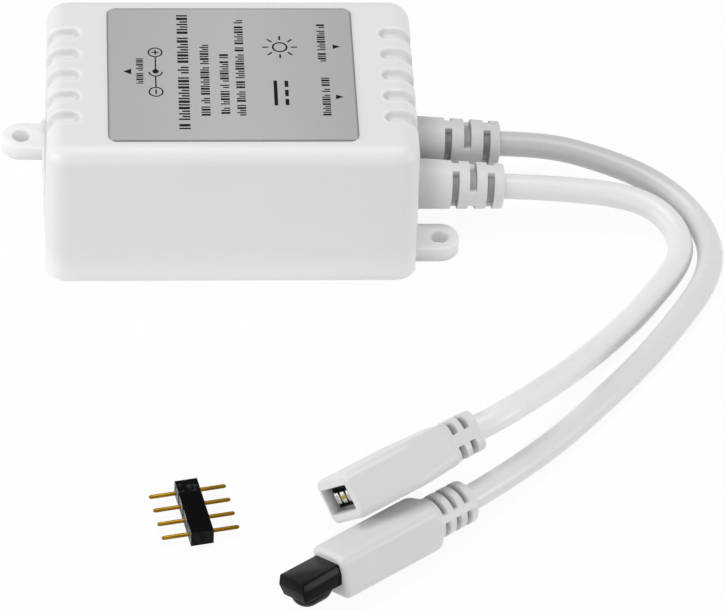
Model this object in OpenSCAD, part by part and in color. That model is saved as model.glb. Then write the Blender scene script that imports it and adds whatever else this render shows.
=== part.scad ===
// LED strip controller: a small fluted plastic case on a base plate with two ears, a circuit
// board and power jack inside, two cables with plug ends, and a loose four-pin header.
// Millimetres, +Z up. The origin is the middle of the underside of the base plate.
// +X points at the end with the cables, and +Y away from the side that faces the viewer.

/* [Case] */
// Length of the case over its end walls
case_l = 50; // [46:1:60]
// Depth of the case from front to back
case_w = 34; // [32:1:44]
// Height of the case above the surface it stands on
case_h = 22.25; // [21.5:0.25:32]
// Thickness of the case walls
wall = 1.8; // [1.4:0.1:2]
// Radius of the upright corners
corner_r = 3; // [2.6:0.1:4]
// Radius of the edge round the top
top_r = 2.4; // [1.2:0.1:2.6]
// Radius of the edge round the bottom
foot_r = 0.4; // [0.3:0.1:1.2]
// How far the walls lean out towards the bottom
draft = 0.3; // [0:0.05:0.4]
// Diameter of the sockets inside the corners
socket_post_d = 4.6; // [4:0.1:5]

/* [Flutes] */
// Number of flutes at each end
flute_count = 5; // [3:1:6]
// Distance from one flute to the next
flute_pitch = 4.4; // [3.6:0.1:4.8]
// Width of a flute
flute_w = 2; // [1.2:0.1:2.6]
// Depth of a flute
flute_depth = 0.8; // [0.4:0.1:1]
// How far a flute runs in over the top
flute_run = 4.6; // [3:0.2:5]
// How far a flute runs down the end wall
flute_drop = 8; // [5:0.5:10]

/* [Base plate] */
// Thickness of the base plate and its ears
base_t = 2.3; // [1.8:0.1:2.6]
// How far the ears reach past the end walls
ear_reach = 6.35; // [5.4:0.05:8]
// Width of an ear
ear_w = 5.4; // [4.4:0.1:6]
// Diameter of the screw hole in an ear
ear_hole_d = 2.4; // [2:0.1:3.2]
// Distance of an ear's middle from the nearer long side of the case
ear_set = 6.3; // [5:0.1:8]
// How far the plate's left end edge stands out beside its ear
lip_out = 0.9; // [0.5:0.1:1.2]
// Diameter of the pegs that hold the case
peg_d = 2.4; // [2:0.1:2.6]
// Height of the pegs above the plate
peg_h = 6; // [4:0.5:8]

/* [Label] */
// Length of the label
label_l = 33.6; // [26:0.2:36]
// Width of the label
label_w = 28; // [22:0.5:29]
// Thickness of the label
label_t = 0.15; // [0.1:0.05:0.3]
// Radius of the label's corners
label_r = 0.8; // [0.4:0.1:2]

/* [Circuit board] */
// Thickness of the circuit board
board_t = 1.6; // [1:0.2:2]
// Height of the posts under the board
board_post_h = 1.7; // [1.4:0.1:2.2]
// Length of the power jack
jack_l = 14.2; // [12:0.2:15]
// Width of the power jack
jack_w = 9; // [8:0.2:10]
// Height of the power jack
jack_h = 11; // [10:0.2:11.4]
// Diameter of the hole for the power plug
jack_bore_d = 6.3; // [5.6:0.1:6.6]
// Depth of the hole for the power plug
jack_bore_depth = 9.5; // [8:0.5:10]
// Diameter of the pin in the jack
jack_pin_d = 2; // [1.3:0.1:2.5]
// Diameter of the filter capacitor
can_d = 6.3; // [5:0.1:7]
// Height of the filter capacitor
can_h = 11; // [7:0.5:12]

/* [Cables] */
// Diameter of both cables
cable_d = 3.5; // [3:0.1:4]
// Distance between the two cables where they leave the case
cable_gap = 9; // [8.6:0.1:10]
// Height of the cables above the surface where they leave the case
cable_z = 6.5; // [6.2:0.1:8]
// How far a strain relief stands out of the end wall
relief_reach = 12.5; // [10:0.5:14]
// Diameter of a strain relief at the case
relief_d = 7; // [6.6:0.1:7.4]
// Diameter of a strain relief at the cable
relief_tip_d = 6.2; // [5.6:0.1:6.6]
// Width of a slot in a strain relief
relief_slot_w = 0.95; // [0.6:0.05:1.2]

/* [Strip socket] */
// Width of the socket housing
sock_w = 12.9; // [12:0.1:14]
// Thickness of the socket housing
sock_t = 6.1; // [5:0.1:6.5]
// Length of the socket housing without its neck
sock_l = 17.4; // [15:0.2:20]
// Length of the slotted neck
sock_neck_l = 3.8; // [3.4:0.1:6]
// How deep the contact block sits in the mouth
sock_recess = 1.9; // [1:0.1:3]
// Distance between two contacts, also of the header's pins
pitch = 2.54; // [2.5:0.02:2.6]
// Number of contacts and pins
pin_count = 4; // [2:1:4]

/* [Receiver plug] */
// Width of the plug housing
plug_w = 6.4; // [6:0.1:8]
// Thickness of the plug housing
plug_t = 6.2; // [5.8:0.1:7]
// Length of the plug housing without its neck
plug_l = 16.7; // [14:0.1:20]
// Length of the ribbed neck
plug_neck_l = 6.3; // [6:0.1:9]
// Width of the infrared receiver
eye_w = 5; // [4.4:0.1:5.2]
// Length of the infrared receiver
eye_l = 6.9; // [6:0.1:8]
// How far the receiver stands out of the housing
eye_out = 6.3; // [5:0.1:6.6]

/* [Pin header] */
// Height of the pin header's body
header_h = 2.3; // [2:0.1:2.6]
// Width of the pin header's body, along its pins
header_w = 3; // [2.2:0.1:3.2]
// Length of a header pin
header_pin_l = 10.2; // [8:0.5:14]
// Diameter of a header pin
header_pin_d = 0.55; // [0.45:0.05:0.7]

/* [Hidden] */

// Fineness of round faces: true circles, and the children of a hull
round_fn = 48;
soft_fn = 32;
// Overrun of every cut past the face that it opens
cut = 1;
// Clearance between pieces that stay put, between flat faces that slide past each other, and
// between round faces that do
seat_gap = 0.05;
slide_gap = 0.2;
round_gap = 0.3;

// Places worked out from the case
inner_l = case_l - 2 * wall;
inner_w = case_w - 2 * wall;
inner_top = case_h - wall;
// The corner sockets run a little into both walls
post_bite = 0.3;
post_x = inner_l / 2 - socket_post_d / 2 + post_bite;
post_y = inner_w / 2 - socket_post_d / 2 + post_bite;
base_w = inner_w - 2 * slide_gap;
ear_r = ear_w / 2;
ear_x = case_l / 2 + ear_reach - ear_r;
ear_off = case_w / 2 - ear_set;
// The plate's end edge at its other corner, where it stands out least
lip_low = lip_out / 5;
lip_chamfer = 1;
board_z = base_t + board_post_h;
board_top = board_z + board_t;
end_gap = 0.2;
board_x0 = -inner_l / 2 + end_gap;
flange_l = 1.8;
neck_gap = 0.15;
flange_x = inner_l / 2 - neck_gap - flange_l;
board_x1 = flange_x - end_gap;
board_w = inner_w - 4 * slide_gap;

// Stakes that hold the board: their distance from the middle, and their sizes
stake_share = 0.31;
stake_x = stake_share * case_l;
stake_inset = 2.4;
stake_y = board_w / 2 - stake_inset;
stake_foot_d = 3.6;
stake_d = 1.8;
stake_head_d = 3;
stake_head_h = 0.6;

// Power jack: its axis above the board, its square front, the lower part behind it
jack_x = -case_l / 2;
jack_axis = jack_h - jack_w / 2;
jack_front_l = 3.5;
jack_rear_w = jack_w - 0.4;
jack_wall = 0.9;
leg_w = 2.2;
leg_t = 0.4;
leg_down = 1.2;
spring_leg_share = 0.535;
shunt_leg_share = 0.735;
pin_leg_share = 0.91;
pin_leg_x = jack_x + pin_leg_share * jack_l;
spring_leg_x = jack_x + spring_leg_share * jack_l;
shunt_leg_x = jack_x + shunt_leg_share * jack_l;
spring_t = 0.3;
spring_w = 2.4;
spring_slot_w = spring_w + 2 * slide_gap;

// The free stretch of the board, from the jack's rear to the wires' pads. Parts stand at
// shares of it along X, and at shares of the case's depth along Y.
wire_run = 4.4;
pad_r = 0.95;
jack_rear = jack_x + jack_l;
free_l = flange_x - wire_run - pad_r - jack_rear;
function spot(x_share, y_share) = [jack_rear + x_share * free_l, y_share * case_w];

// Parts on the board: their places and sizes
can_at = spot(0.2, 0.26);
can_lead_d = 0.6;
can_lead_gap = 2.5;
can_seat = 0.4;
can_edge = 0.5;
reg_at = spot(0.16, 0);
reg_size = [4.5, 2.5, 1.5];
reg_tab = [1.7, 0.7, 0.35];
diode_size = [4.3, 2.6, 2.2];
diode_tab = [0.8, 1.5, 0.3];
beside_jack = 0.7;
diode_at = [jack_rear - diode_size[0], -jack_w / 2 - beside_jack - diode_size[1] / 2];
mcu_at = spot(0.45, 0);
memory_at = spot(0.25, -0.28);
so_size = [4.9, 3.9, 1.45];
so_pitch = 1.27;
so_pins = 4;
so_lead_w = 0.42;
so_lead_t = 0.2;
so_reach = 1.05;
so_foot = 0.6;
so_stand = 0.15;
mosfet_at = spot(0.74, 0.203);
mosfet_size = [6, 6.5, 2.3];
mosfet_tab = [1.4, 5.2, 0.5];
mosfet_leg = [2.6, 0.7, 0.5];
mosfet_leg_gap = 2.28;
chip_size = [2, 1.25, 0.5];
chip_cap_size = [2, 1.25, 0.9];
chip_gap = 0.55;

// Chips in two columns beside the microcontroller, at both sides of the regulator, and
// beside the jack
chip_row = (chip_size[1] + chip_gap) / 2;
chip_step = chip_size[0] + chip_gap;
chip_first = so_size[0] / 2 + chip_step / 2 + chip_gap / 2;
reg_row = reg_size[1] / 2 + reg_tab[0] + chip_gap + chip_size[1] / 2;
mcu_row = so_size[1] / 2 + so_reach + chip_gap + chip_size[1] / 2;
jack_row = jack_w / 2 + beside_jack + chip_size[1];
resistor_places = concat(
    [for (i = [0, 1], s = [-1, 1]) mcu_at + [chip_first + i * chip_step, s * chip_row]],
    [for (s = [-1, 1]) reg_at + [0, s * reg_row]],
    [[jack_rear - 2 * chip_size[0], jack_row]]);
chip_cap_places = concat(
    [mcu_at + [-so_size[0] / 2, mcu_row]],
    [for (s = [-1, 1]) [jack_x + jack_front_l + chip_gap, s * jack_row]]);

// Wires from the cables to the board
wire_d = 1;
wire_gap = 1.35;
wire_z = board_top + wire_d / 2 + seat_gap;
pad_sink = 0.25;
strip_wire_count = pin_count;
ir_wire_count = 3;

// Strain reliefs: the neck in the wall, the slots, the ribs left between them
neck_d = 5.4;
flange_d = 7.2;
relief_core_d = cable_d + 0.9;
relief_tip_edge = 1.4;
strip_slot_pitch = 2.43;
ir_slot_pitch = 2.68;
slot_count = 3;
droop = 2.55;
neck_into = 0.9;
side_rib_w = 1.85;
top_rib_w = 2.7;

// Cable routes: the middle of each cable, from its strain relief to the plug at its far end.
// They lie on the surface in one bend side by side and run back to the front.
strip_route = [[37.5, -4.5, 5.96], [41.5, -4.5, 5.75], [45, -4.5, 5.5], [49, -4.6, 5.1],
    [52.5, -4.7, 4.7], [56.5, -5.4, 4.1], [59.4, -7, 3.4], [61.4, -10.1, 2.8],
    [61.9, -14.2, 2.4], [59.9, -18.3, 2], [57.4, -21.8, 1.75], [54.4, -26.3, 1.75],
    [50.7, -30.8, 1.8], [47.4, -35, 2.5], [43.9, -40.3, 4.4], [40.4, -45.8, 6.9],
    [37, -50.8, 9.2]];
ir_route = [[37.5, 4.5, 5.96], [42, 4.5, 5.75], [46.5, 4, 5.5], [51, 2.4, 5.1],
    [55.5, 0.7, 4.5], [60, -1.9, 3.6], [63.4, -5.6, 2.8], [65.4, -10.2, 2.4],
    [65.9, -14.8, 2], [64.4, -19.8, 1.75], [61.9, -24.3, 1.75], [58.4, -29.8, 1.75],
    [53.9, -36.3, 1.75], [48.9, -42.3, 1.75], [43.4, -48.8, 1.75], [38.4, -54.3, 2.25]];
route_lead = 3.5;
cable_sides = 8;
rings_per_span = 2;

// Strip socket: where its neck meets the cable, its turn, its rise to the back, its roll
sock_back = [30.6, -55.85];
sock_yaw = 29;
sock_rise = 8;
sock_roll = 48;
sock_edge_r = 1.1;
sock_front_edge = 0.6;
sock_straight = 10;
sock_neck_w = 5.8;
sock_neck_t = 5.5;
sock_neck_r = 1.9;
mouth_w = pin_count * pitch + 0.35;
mouth_t = 3.4;
block_w = pin_count * pitch;
block_t = pitch;
block_l = 8.5;
hole_side = 1.7;
blade_t = 0.3;
blade_w = 1.5;
blade_gap = 0.7;
blade_l = 6.5;
blade_set_back = 0.3;
neck_bar_w = 1.3;
sock_slot_w = 0.9;
sock_slot_pitch = 1.95;
sock_slot_count = 2;

// Receiver plug: where its neck meets the cable, its turn, its rise to the back, its roll
plug_back = [28.8, -63.21];
plug_yaw = 38;
plug_rise = -3;
plug_roll = 20;
plug_edge_r = 1.1;
plug_front_edge = 0.7;
plug_neck_d = 5.8;
plug_slot_w = 1;
plug_slot_pitch = 1.8;
plug_slot_count = 3;
plug_step_l = 0.45;
plug_shoulder_l = 1.5;
plug_shoulder = 1.4;
eye_block_t = 2.9;
eye_dome_r = 2.1;
eye_dome_out = 1.8;
eye_edge = 0.25;
eye_lead_gap = 1.27;
eye_lead_side = 0.45;
eye_lead_l = 5;
eye_inset = eye_l - eye_out;

// Pin header: the middle of its body, and its turn
header_at = [-6.1, -62.7];
header_yaw = 11.5;
header_notch = 0.35;
header_trim = 0.15;
pin_point = 0.3;
floor_gap = 0.02;

// Height of a rolled rectangle's middle over the surface that its lowest corner touches
function rolled_height(w, t, r, roll) =
    (w / 2 - r) * sin(roll) + (t / 2 - r) * cos(roll) + r;
function direction(yaw, rise) = [cos(rise) * cos(yaw), cos(rise) * sin(yaw), sin(rise)];

sock_total = sock_l + sock_neck_l;
plug_total = plug_l + plug_neck_l;
sock_z = rolled_height(sock_w, sock_t, sock_edge_r, sock_roll) + floor_gap
    + sock_total * sin(sock_rise);
plug_z = rolled_height(plug_w, plug_t, plug_edge_r, plug_roll) + floor_gap
    + plug_neck_l * sin(plug_rise);
sock_end = [sock_back[0], sock_back[1], sock_z];
plug_end = [plug_back[0], plug_back[1], plug_z];

// Adds the straight stretch in front of a plug, and the plug's end itself, to a route
function to_plug(route, end, yaw, rise) =
    concat(route, [end + route_lead * direction(yaw, rise), end]);

// Points of the smooth curve that a row of control points pulls, from end to end
function held_ends(p) = concat([p[0], p[0]], p, [p[len(p) - 1], p[len(p) - 1]]);
function curve_point(a, b, c, d, t) = (pow(1 - t, 3) * a + (3 * pow(t, 3) - 6 * t * t + 4) * b
    + (-3 * pow(t, 3) + 3 * t * t + 3 * t + 1) * c + pow(t, 3) * d) / 6;
function curve(p, n) = let (q = held_ends(p)) concat(
    [for (i = [0:len(q) - 4], k = [0:n - 1])
        curve_point(q[i], q[i + 1], q[i + 2], q[i + 3], k / n)],
    [p[len(p) - 1]]);
function unit(v) = v / norm(v);
function tangent(p, i) = unit(p[min(i + 1, len(p) - 1)] - p[max(i - 1, 0)]);
function ring(p, i, r, sides) = let (t = tangent(p, i), s = unit(cross(t, [0, 0, 1])),
    u = cross(s, t))
    [for (k = [0:sides - 1]) p[i] + r * (cos(360 * (k + 0.5) / sides) * s
        + sin(360 * (k + 0.5) / sides) * u)];

// One closed tube along a row of points
module tube(points, d, sides) {
    rings = len(points);
    skin = [for (i = [0:rings - 1]) each ring(points, i, d / 2, sides)];
    walls = [for (i = [0:rings - 2], k = [0:sides - 1]) let (m = (k + 1) % sides)
        [i * sides + k, i * sides + m, (i + 1) * sides + m, (i + 1) * sides + k]];
    first = [for (k = [sides - 1:-1:0]) k];
    last = [for (k = [0:sides - 1]) (rings - 1) * sides + k];
    polyhedron(points = skin, faces = concat([first], walls, [last]), convexity = 10);
}

// A block with round upright edges, its middle at the origin and its foot at height zero
module round_block(l, w, h, r) {
    translate([-l / 2, r - w / 2, 0]) cube([l, w - 2 * r, h]);
    translate([r - l / 2, -w / 2, 0]) cube([l - 2 * r, w, h]);
    for (x = [-1, 1], y = [-1, 1])
        translate([x * (l / 2 - r), y * (w / 2 - r), 0]) cylinder(r = r, h = h, $fn = round_fn);
}

// A flat round-cornered plate standing across X, at a place along X
module slab(at, w, t, r, thick) {
    translate([at, 0, 0]) rotate([90, 0, 90]) linear_extrude(thick)
        offset(r = r, $fn = soft_fn) square([w - 2 * r, t - 2 * r], center = true);
}

// Puts a plug, drawn with its front at the origin and its cable towards +X, where it lies
module lay_plug(end, yaw, rise, roll, total) {
    translate(end) rotate([-roll, -rise, yaw]) translate([-total, 0, 0]) children();
}

// A round edge bent round one upright corner of the case
module corner_ring(r, edge) {
    rotate_extrude($fn = soft_fn) intersection() {
        translate([r - edge, 0]) circle(r = edge, $fn = soft_fn);
        translate([0, -edge]) square([r, 2 * edge]);
    }
}

module case_outside() {
    hull() for (x = [-1, 1], y = [-1, 1])
        translate([x * (case_l / 2 - corner_r), y * (case_w / 2 - corner_r), 0]) {
            translate([0, 0, case_h - top_r]) corner_ring(corner_r, top_r);
            translate([x * draft, y * draft, foot_r]) corner_ring(corner_r, foot_r);
        }
}

// One flute at the +X end: along the top, and down the end wall
module flute() {
    r = flute_w / 2;
    top = case_h + r - flute_depth;
    side = case_l / 2 + r - flute_depth;
    translate([case_l / 2 - flute_run + r, 0, top]) {
        sphere(r = r, $fn = round_fn);
        rotate([0, 90, 0]) cylinder(r = r, h = flute_run, $fn = round_fn);
    }
    translate([side, 0, case_h - flute_drop + r]) {
        sphere(r = r, $fn = round_fn);
        cylinder(r = r, h = flute_drop, $fn = round_fn);
    }
}

// The flute's bend over the rounded edge: a ring of the flute's own section
module flute_bend() {
    r = flute_w / 2;
    bend = top_r + r - flute_depth;
    translate([case_l / 2 - top_r, 0, case_h - top_r]) rotate([90, 0, 0])
        rotate_extrude($fn = round_fn) translate([bend, 0]) circle(r = r, $fn = round_fn);
}

module flutes() {
    for (side = [0, 180], i = [0:flute_count - 1])
        rotate(side) translate([0, (i - (flute_count - 1) / 2) * flute_pitch, 0]) {
            flute();
            intersection() {
                flute_bend();
                translate([case_l / 2 - top_r, -flute_w, case_h - top_r])
                    cube([top_r + flute_w, 2 * flute_w, top_r + flute_w]);
            }
        }
}

// What the case leaves open in its end walls: the plate's ends, the jack, the cables' necks
module end_openings() {
    w = jack_w + 2 * slide_gap;
    for (x = [-1, 1]) translate([x * (case_l - wall) / 2, 0, (base_t + slide_gap - cut) / 2])
        cube([wall + 2 * cut, inner_w, base_t + slide_gap + cut], center = true);
    translate([-case_l / 2 - cut, -w / 2, -cut])
        cube([wall + 2 * cut, w, board_top + jack_h + slide_gap + cut]);
    for (y = [-1, 1]) translate([inner_l / 2 - cut, y * cable_gap / 2, 0]) {
        r = neck_d / 2 + round_gap;
        translate([0, 0, cable_z]) rotate([0, 90, 0])
            cylinder(r = r, h = wall + 2 * cut, $fn = round_fn);
        translate([0, -r, -cut]) cube([wall + 2 * cut, 2 * r, cable_z + cut]);
    }
}

module case_shell() {
    post_foot = base_t + slide_gap;
    color("whitesmoke") {
        difference() {
            case_outside();
            translate([0, 0, -cut]) round_block(inner_l, inner_w, inner_top + cut, corner_r - wall);
            flutes();
            end_openings();
        }
        for (x = [-1, 1], y = [-1, 1]) translate([x * post_x, y * post_y, post_foot])
            difference() {
                cylinder(d = socket_post_d, h = inner_top - post_foot + wall / 2, $fn = round_fn);
                translate([0, 0, -cut])
                    cylinder(d = peg_d + 2 * seat_gap, h = peg_h + cut, $fn = round_fn);
            }
    }
}

// Outline of the plate. Its left end edge stands out most behind its ear.
module base_outline() {
    far_y = base_w / 2;
    near_y = far_y - lip_chamfer;
    far_x = case_l / 2;
    polygon([
        [-far_x - lip_out, near_y], [lip_chamfer - far_x, far_y],
        [far_x - lip_chamfer, far_y], [far_x + lip_low, near_y],
        [far_x + lip_low, -near_y], [far_x - lip_chamfer, -far_y],
        [lip_chamfer - far_x, -far_y], [-far_x - lip_low, -near_y]
    ]);
}

module base_plate() {
    color("whitesmoke") difference() {
        union() {
            linear_extrude(base_t) base_outline();
            for (s = [0, 180]) rotate(s) translate([0, -ear_off, 0]) {
                translate([0, -ear_r, 0]) cube([ear_x, ear_w, base_t]);
                translate([ear_x, 0, 0]) cylinder(r = ear_r, h = base_t, $fn = round_fn);
            }
            for (x = [-1, 1], y = [-1, 1]) translate([x * post_x, y * post_y, 0])
                cylinder(d = peg_d, h = base_t + peg_h - slide_gap, $fn = round_fn);
            board_stakes();
            cable_saddles();
            jack_step();
        }
        for (s = [0, 180]) rotate(s) translate([ear_x, -ear_off, -cut])
            cylinder(d = ear_hole_d, h = base_t + 2 * cut, $fn = round_fn);
    }
}

// Posts under the board, with stakes through it whose heads hold it down
module board_stakes() {
    for (x = [-1, 1], y = [-1, 1]) translate([x * stake_x, y * stake_y, 0]) {
        cylinder(d = stake_foot_d, h = board_z, $fn = round_fn);
        cylinder(d = stake_d, h = board_top + stake_head_h, $fn = round_fn);
        translate([0, 0, board_top])
            cylinder(d1 = stake_head_d, d2 = stake_d, h = stake_head_h, $fn = round_fn);
    }
}

// Tabs on the plate that close the wall's notches below the necks and carry them
module cable_saddles() {
    for (y = [-1, 1]) difference() {
        translate([inner_l / 2, y * cable_gap / 2 - neck_d / 2, 0])
            cube([wall, neck_d, cable_z]);
        translate([inner_l / 2 - cut, y * cable_gap / 2, cable_z]) rotate([0, 90, 0])
            cylinder(d = neck_d + 2 * seat_gap, h = wall + 2 * cut, $fn = round_fn);
    }
}

// Low wall on the plate below the jack, which closes the wall's window there
module jack_step() {
    translate([-case_l / 2, -jack_w / 2, 0]) cube([wall, jack_w, board_top]);
}

module label_plate() {
    color("silver") translate([0, 0, case_h]) round_block(label_l, label_w, label_t, label_r);
}

// The board: notched round the corner sockets, drilled for the stakes, jack and capacitor
module circuit_board() {
    notch_x = post_x - socket_post_d / 2 - round_gap;
    notch_y = post_y - socket_post_d / 2 - round_gap;
    far = inner_l;
    color("darkgreen") translate([0, 0, board_z]) difference() {
        translate([board_x0, -board_w / 2, 0]) cube([board_x1 - board_x0, board_w, board_t]);
        for (x = [-1, 1], y = [-1, 1]) {
            translate([x * (notch_x + far / 2), y * (notch_y + far / 2), board_t / 2])
                cube([far, far, board_t + 2 * cut], center = true);
            translate([x * stake_x, y * stake_y, -cut])
                cylinder(d = stake_d + 2 * seat_gap, h = board_t + 2 * cut, $fn = round_fn);
        }
        for (x = [pin_leg_x, spring_leg_x]) leg_slot(x, 0);
        leg_slot(shunt_leg_x, jack_w / 2 - jack_wall);
        for (x = [-1, 1]) translate([can_at[0] + x * can_lead_gap / 2, can_at[1], -cut])
            cylinder(d = can_lead_d + 2 * seat_gap, h = board_t + 2 * cut, $fn = round_fn);
    }
}

module leg_slot(x, y) {
    translate([x, y, board_t / 2])
        cube([leg_t + 2 * seat_gap, leg_w + 2 * seat_gap, board_t + 2 * cut], center = true);
}

module jack_housing() {
    axis_z = board_top + jack_axis;
    rear_l = jack_l - jack_front_l;
    color("black") difference() {
        union() {
            translate([jack_x, -jack_w / 2, board_top]) cube([jack_front_l, jack_w, jack_h]);
            translate([jack_x + jack_front_l, -jack_rear_w / 2, board_top])
                cube([rear_l, jack_rear_w, jack_axis]);
            translate([jack_x + jack_front_l, 0, axis_z]) rotate([0, 90, 0])
                cylinder(d = jack_rear_w, h = rear_l, $fn = round_fn);
        }
        translate([jack_x - cut, 0, axis_z]) rotate([0, 90, 0])
            cylinder(d = jack_bore_d, h = jack_bore_depth + cut, $fn = round_fn);
        translate([jack_x + jack_bore_depth - cut, 0, axis_z]) rotate([0, 90, 0])
            cylinder(d = jack_pin_d + 2 * seat_gap, h = jack_l + cut, $fn = round_fn);
        // Room for the pin's leg behind the rear wall
        translate([pin_leg_x - leg_t / 2 - seat_gap, -leg_w / 2 - seat_gap, board_top - cut])
            cube([jack_l, leg_w + 2 * seat_gap, jack_axis + cut + leg_w / 2 + seat_gap]);
        // Channel for the spring contact, from the bore down to the board
        translate([spring_leg_x - leg_t / 2 - seat_gap, -spring_slot_w / 2, board_top - cut])
            cube([spring_run() + leg_t, spring_slot_w, jack_axis + cut]);
        // Window for the shunt contact in the side wall
        translate([shunt_leg_x - leg_w / 2, jack_w / 2 - jack_wall - leg_t / 2 - seat_gap,
            board_top - cut]) cube([leg_w, jack_w, jack_axis / 2 + cut]);
    }
}

// Length of the spring contact's sprung arm along the jack
function spring_run() = jack_x + jack_bore_depth - spring_leg_x;

module jack_center_pin() {
    axis_z = board_top + jack_axis;
    front = jack_x + 2 * jack_wall;
    color("silver") {
        translate([front, 0, axis_z]) rotate([0, 90, 0])
            cylinder(d = jack_pin_d, h = pin_leg_x - front + leg_t / 2, $fn = round_fn);
        translate([pin_leg_x, 0, (axis_z + board_z - leg_down + leg_w / 2) / 2])
            cube([leg_t, leg_w, axis_z - board_z + leg_down + leg_w / 2], center = true);
    }
}

module jack_spring_contact() {
    low = board_top + jack_axis - jack_bore_d / 2 - spring_t;
    arm = spring_run() - slide_gap;
    color("silver") {
        translate([spring_leg_x, 0, (low + board_z - leg_down) / 2])
            cube([leg_t, leg_w, low - board_z + leg_down], center = true);
        translate([spring_leg_x - leg_t / 2, -leg_w / 2, low - spring_t / 2])
            cube([arm, leg_w, spring_t]);
    }
}

module jack_shunt_contact() {
    y = jack_w / 2 - jack_wall;
    high = board_top + jack_axis / 2 - slide_gap;
    low = board_z - leg_down;
    color("silver") translate([shunt_leg_x, y, (high + low) / 2])
        cube([leg_t, leg_t, high - low], center = true);
}

module filter_capacitor() {
    color("dimgray") translate([can_at[0], can_at[1], board_top]) {
        cylinder(d = can_d - 2 * can_edge, h = can_seat + can_edge, $fn = round_fn);
        translate([0, 0, can_seat]) {
            cylinder(d1 = can_d - 2 * can_edge, d2 = can_d, h = can_edge, $fn = round_fn);
            translate([0, 0, can_edge])
                cylinder(d = can_d, h = can_h - can_seat - 2 * can_edge, $fn = round_fn);
            translate([0, 0, can_h - can_seat - can_edge])
                cylinder(d1 = can_d, d2 = can_d - 2 * can_edge, h = can_edge, $fn = round_fn);
        }
    }
}

module capacitor_leads() {
    color("silver") for (x = [-1, 1])
        translate([can_at[0] + x * can_lead_gap / 2, can_at[1], board_z - leg_down])
            cylinder(d = can_lead_d, h = board_t + leg_down, $fn = round_fn);
}

module voltage_regulator() {
    color("black") translate([reg_at[0], reg_at[1], board_top]) {
        translate([0, 0, reg_size[2] / 2]) cube(reg_size, center = true);
        for (x = [-1, 0, 1]) translate([x * reg_size[0] / 3, -reg_size[1] / 2, reg_tab[2] / 2])
            cube([reg_tab[1], 2 * reg_tab[0], reg_tab[2]], center = true);
    }
}

module protection_diode() {
    color("black") translate([diode_at[0], diode_at[1], board_top]) {
        translate([0, 0, diode_size[2] / 2]) cube(diode_size, center = true);
        for (x = [-1, 1]) translate([x * diode_size[0] / 2, 0, diode_tab[2] / 2])
            cube([2 * diode_tab[0], diode_tab[1], diode_tab[2]], center = true);
    }
}

// Body of an eight-lead chip
module so_body(at) {
    color("black") translate([at[0], at[1], board_top + so_stand])
        translate([0, 0, (so_size[2] - so_stand) / 2])
            cube([so_size[0], so_size[1], so_size[2] - so_stand], center = true);
}

// The two rows of bent leads beside such a body
module so_leads(at) {
    shoulder = so_size[2] / 2;
    inner_y = so_size[1] / 2;
    color("silver") translate([at[0], at[1], board_top])
        for (s = [0, 180], i = [0:so_pins - 1]) rotate(s)
            translate([(i - (so_pins - 1) / 2) * so_pitch - so_lead_w / 2, 0, 0]) {
                translate([0, inner_y, shoulder - so_lead_t])
                    cube([so_lead_w, so_reach - so_foot, so_lead_t]);
                translate([0, inner_y + so_reach - so_foot - so_lead_t, 0])
                    cube([so_lead_w, so_lead_t, shoulder]);
                translate([0, inner_y + so_reach - so_foot - so_lead_t, 0])
                    cube([so_lead_w, so_foot + so_lead_t, so_lead_t]);
            }
}

module microcontroller() { so_body(mcu_at); }
module microcontroller_leads() { so_leads(mcu_at); }
module memory_chip() { so_body(memory_at); }
module memory_chip_leads() { so_leads(memory_at); }

module mosfets() {
    color("black") for (y = [-1, 1])
        translate([mosfet_at[0], y * mosfet_at[1], board_top + mosfet_tab[2] + mosfet_size[2] / 2
            - mosfet_tab[2] / 2])
            cube([mosfet_size[0], mosfet_size[1], mosfet_size[2] - mosfet_tab[2]], center = true);
}

// The soldered tab under each transistor, and its two bent legs
module mosfet_tabs() {
    color("silver") for (y = [-1, 1]) translate([mosfet_at[0], y * mosfet_at[1], board_top]) {
        translate([mosfet_tab[0] / 2, 0, mosfet_tab[2] / 2])
            cube([mosfet_size[0] + mosfet_tab[0], mosfet_tab[1], mosfet_tab[2]], center = true);
        for (s = [-1, 1]) translate([-mosfet_size[0] / 2 - mosfet_leg[0] / 2 - end_gap,
            s * mosfet_leg_gap, mosfet_leg[2] / 2]) {
            cube(mosfet_leg, center = true);
            translate([mosfet_leg[0] / 2 - mosfet_leg[2] / 2, 0, mosfet_leg[2] / 2])
                cube([mosfet_leg[2], mosfet_leg[1], 2 * mosfet_leg[2]], center = true);
            translate([mosfet_leg[0] / 2, 0, mosfet_leg[2]])
                cube([2 * end_gap, mosfet_leg[1], mosfet_leg[2]], center = true);
        }
    }
}

module chips(places, size) {
    for (p = places) translate([p[0], p[1], board_top + size[2] / 2]) cube(size, center = true);
}

module chip_resistors() { color("black") chips(resistor_places, chip_size); }
module chip_capacitors() { color("tan") chips(chip_cap_places, chip_cap_size); }

// Wires side by side from a strain relief's inner face to their pads
module wires(y, count) {
    for (i = [0:count - 1]) translate([flange_x - wire_run, y + (i - (count - 1) / 2) * wire_gap,
        wire_z]) rotate([0, 90, 0]) cylinder(d = wire_d, h = wire_run, $fn = round_fn);
}

module strip_wires() { color("white") wires(-cable_gap / 2, strip_wire_count); }
module ir_wires() { color("red") wires(cable_gap / 2, ir_wire_count); }

// Low domes of solder that hold the wires' ends on the board
module pads(y, count) {
    r = wire_gap / 2 - seat_gap;
    for (i = [0:count - 1]) translate([flange_x - wire_run, y + (i - (count - 1) / 2) * wire_gap,
        board_top]) intersection() {
            translate([0, 0, -pad_sink]) sphere(r = r, $fn = round_fn);
            translate([-pad_r, -pad_r, 0]) cube([2 * pad_r, 2 * pad_r, pad_r]);
        }
}

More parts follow.
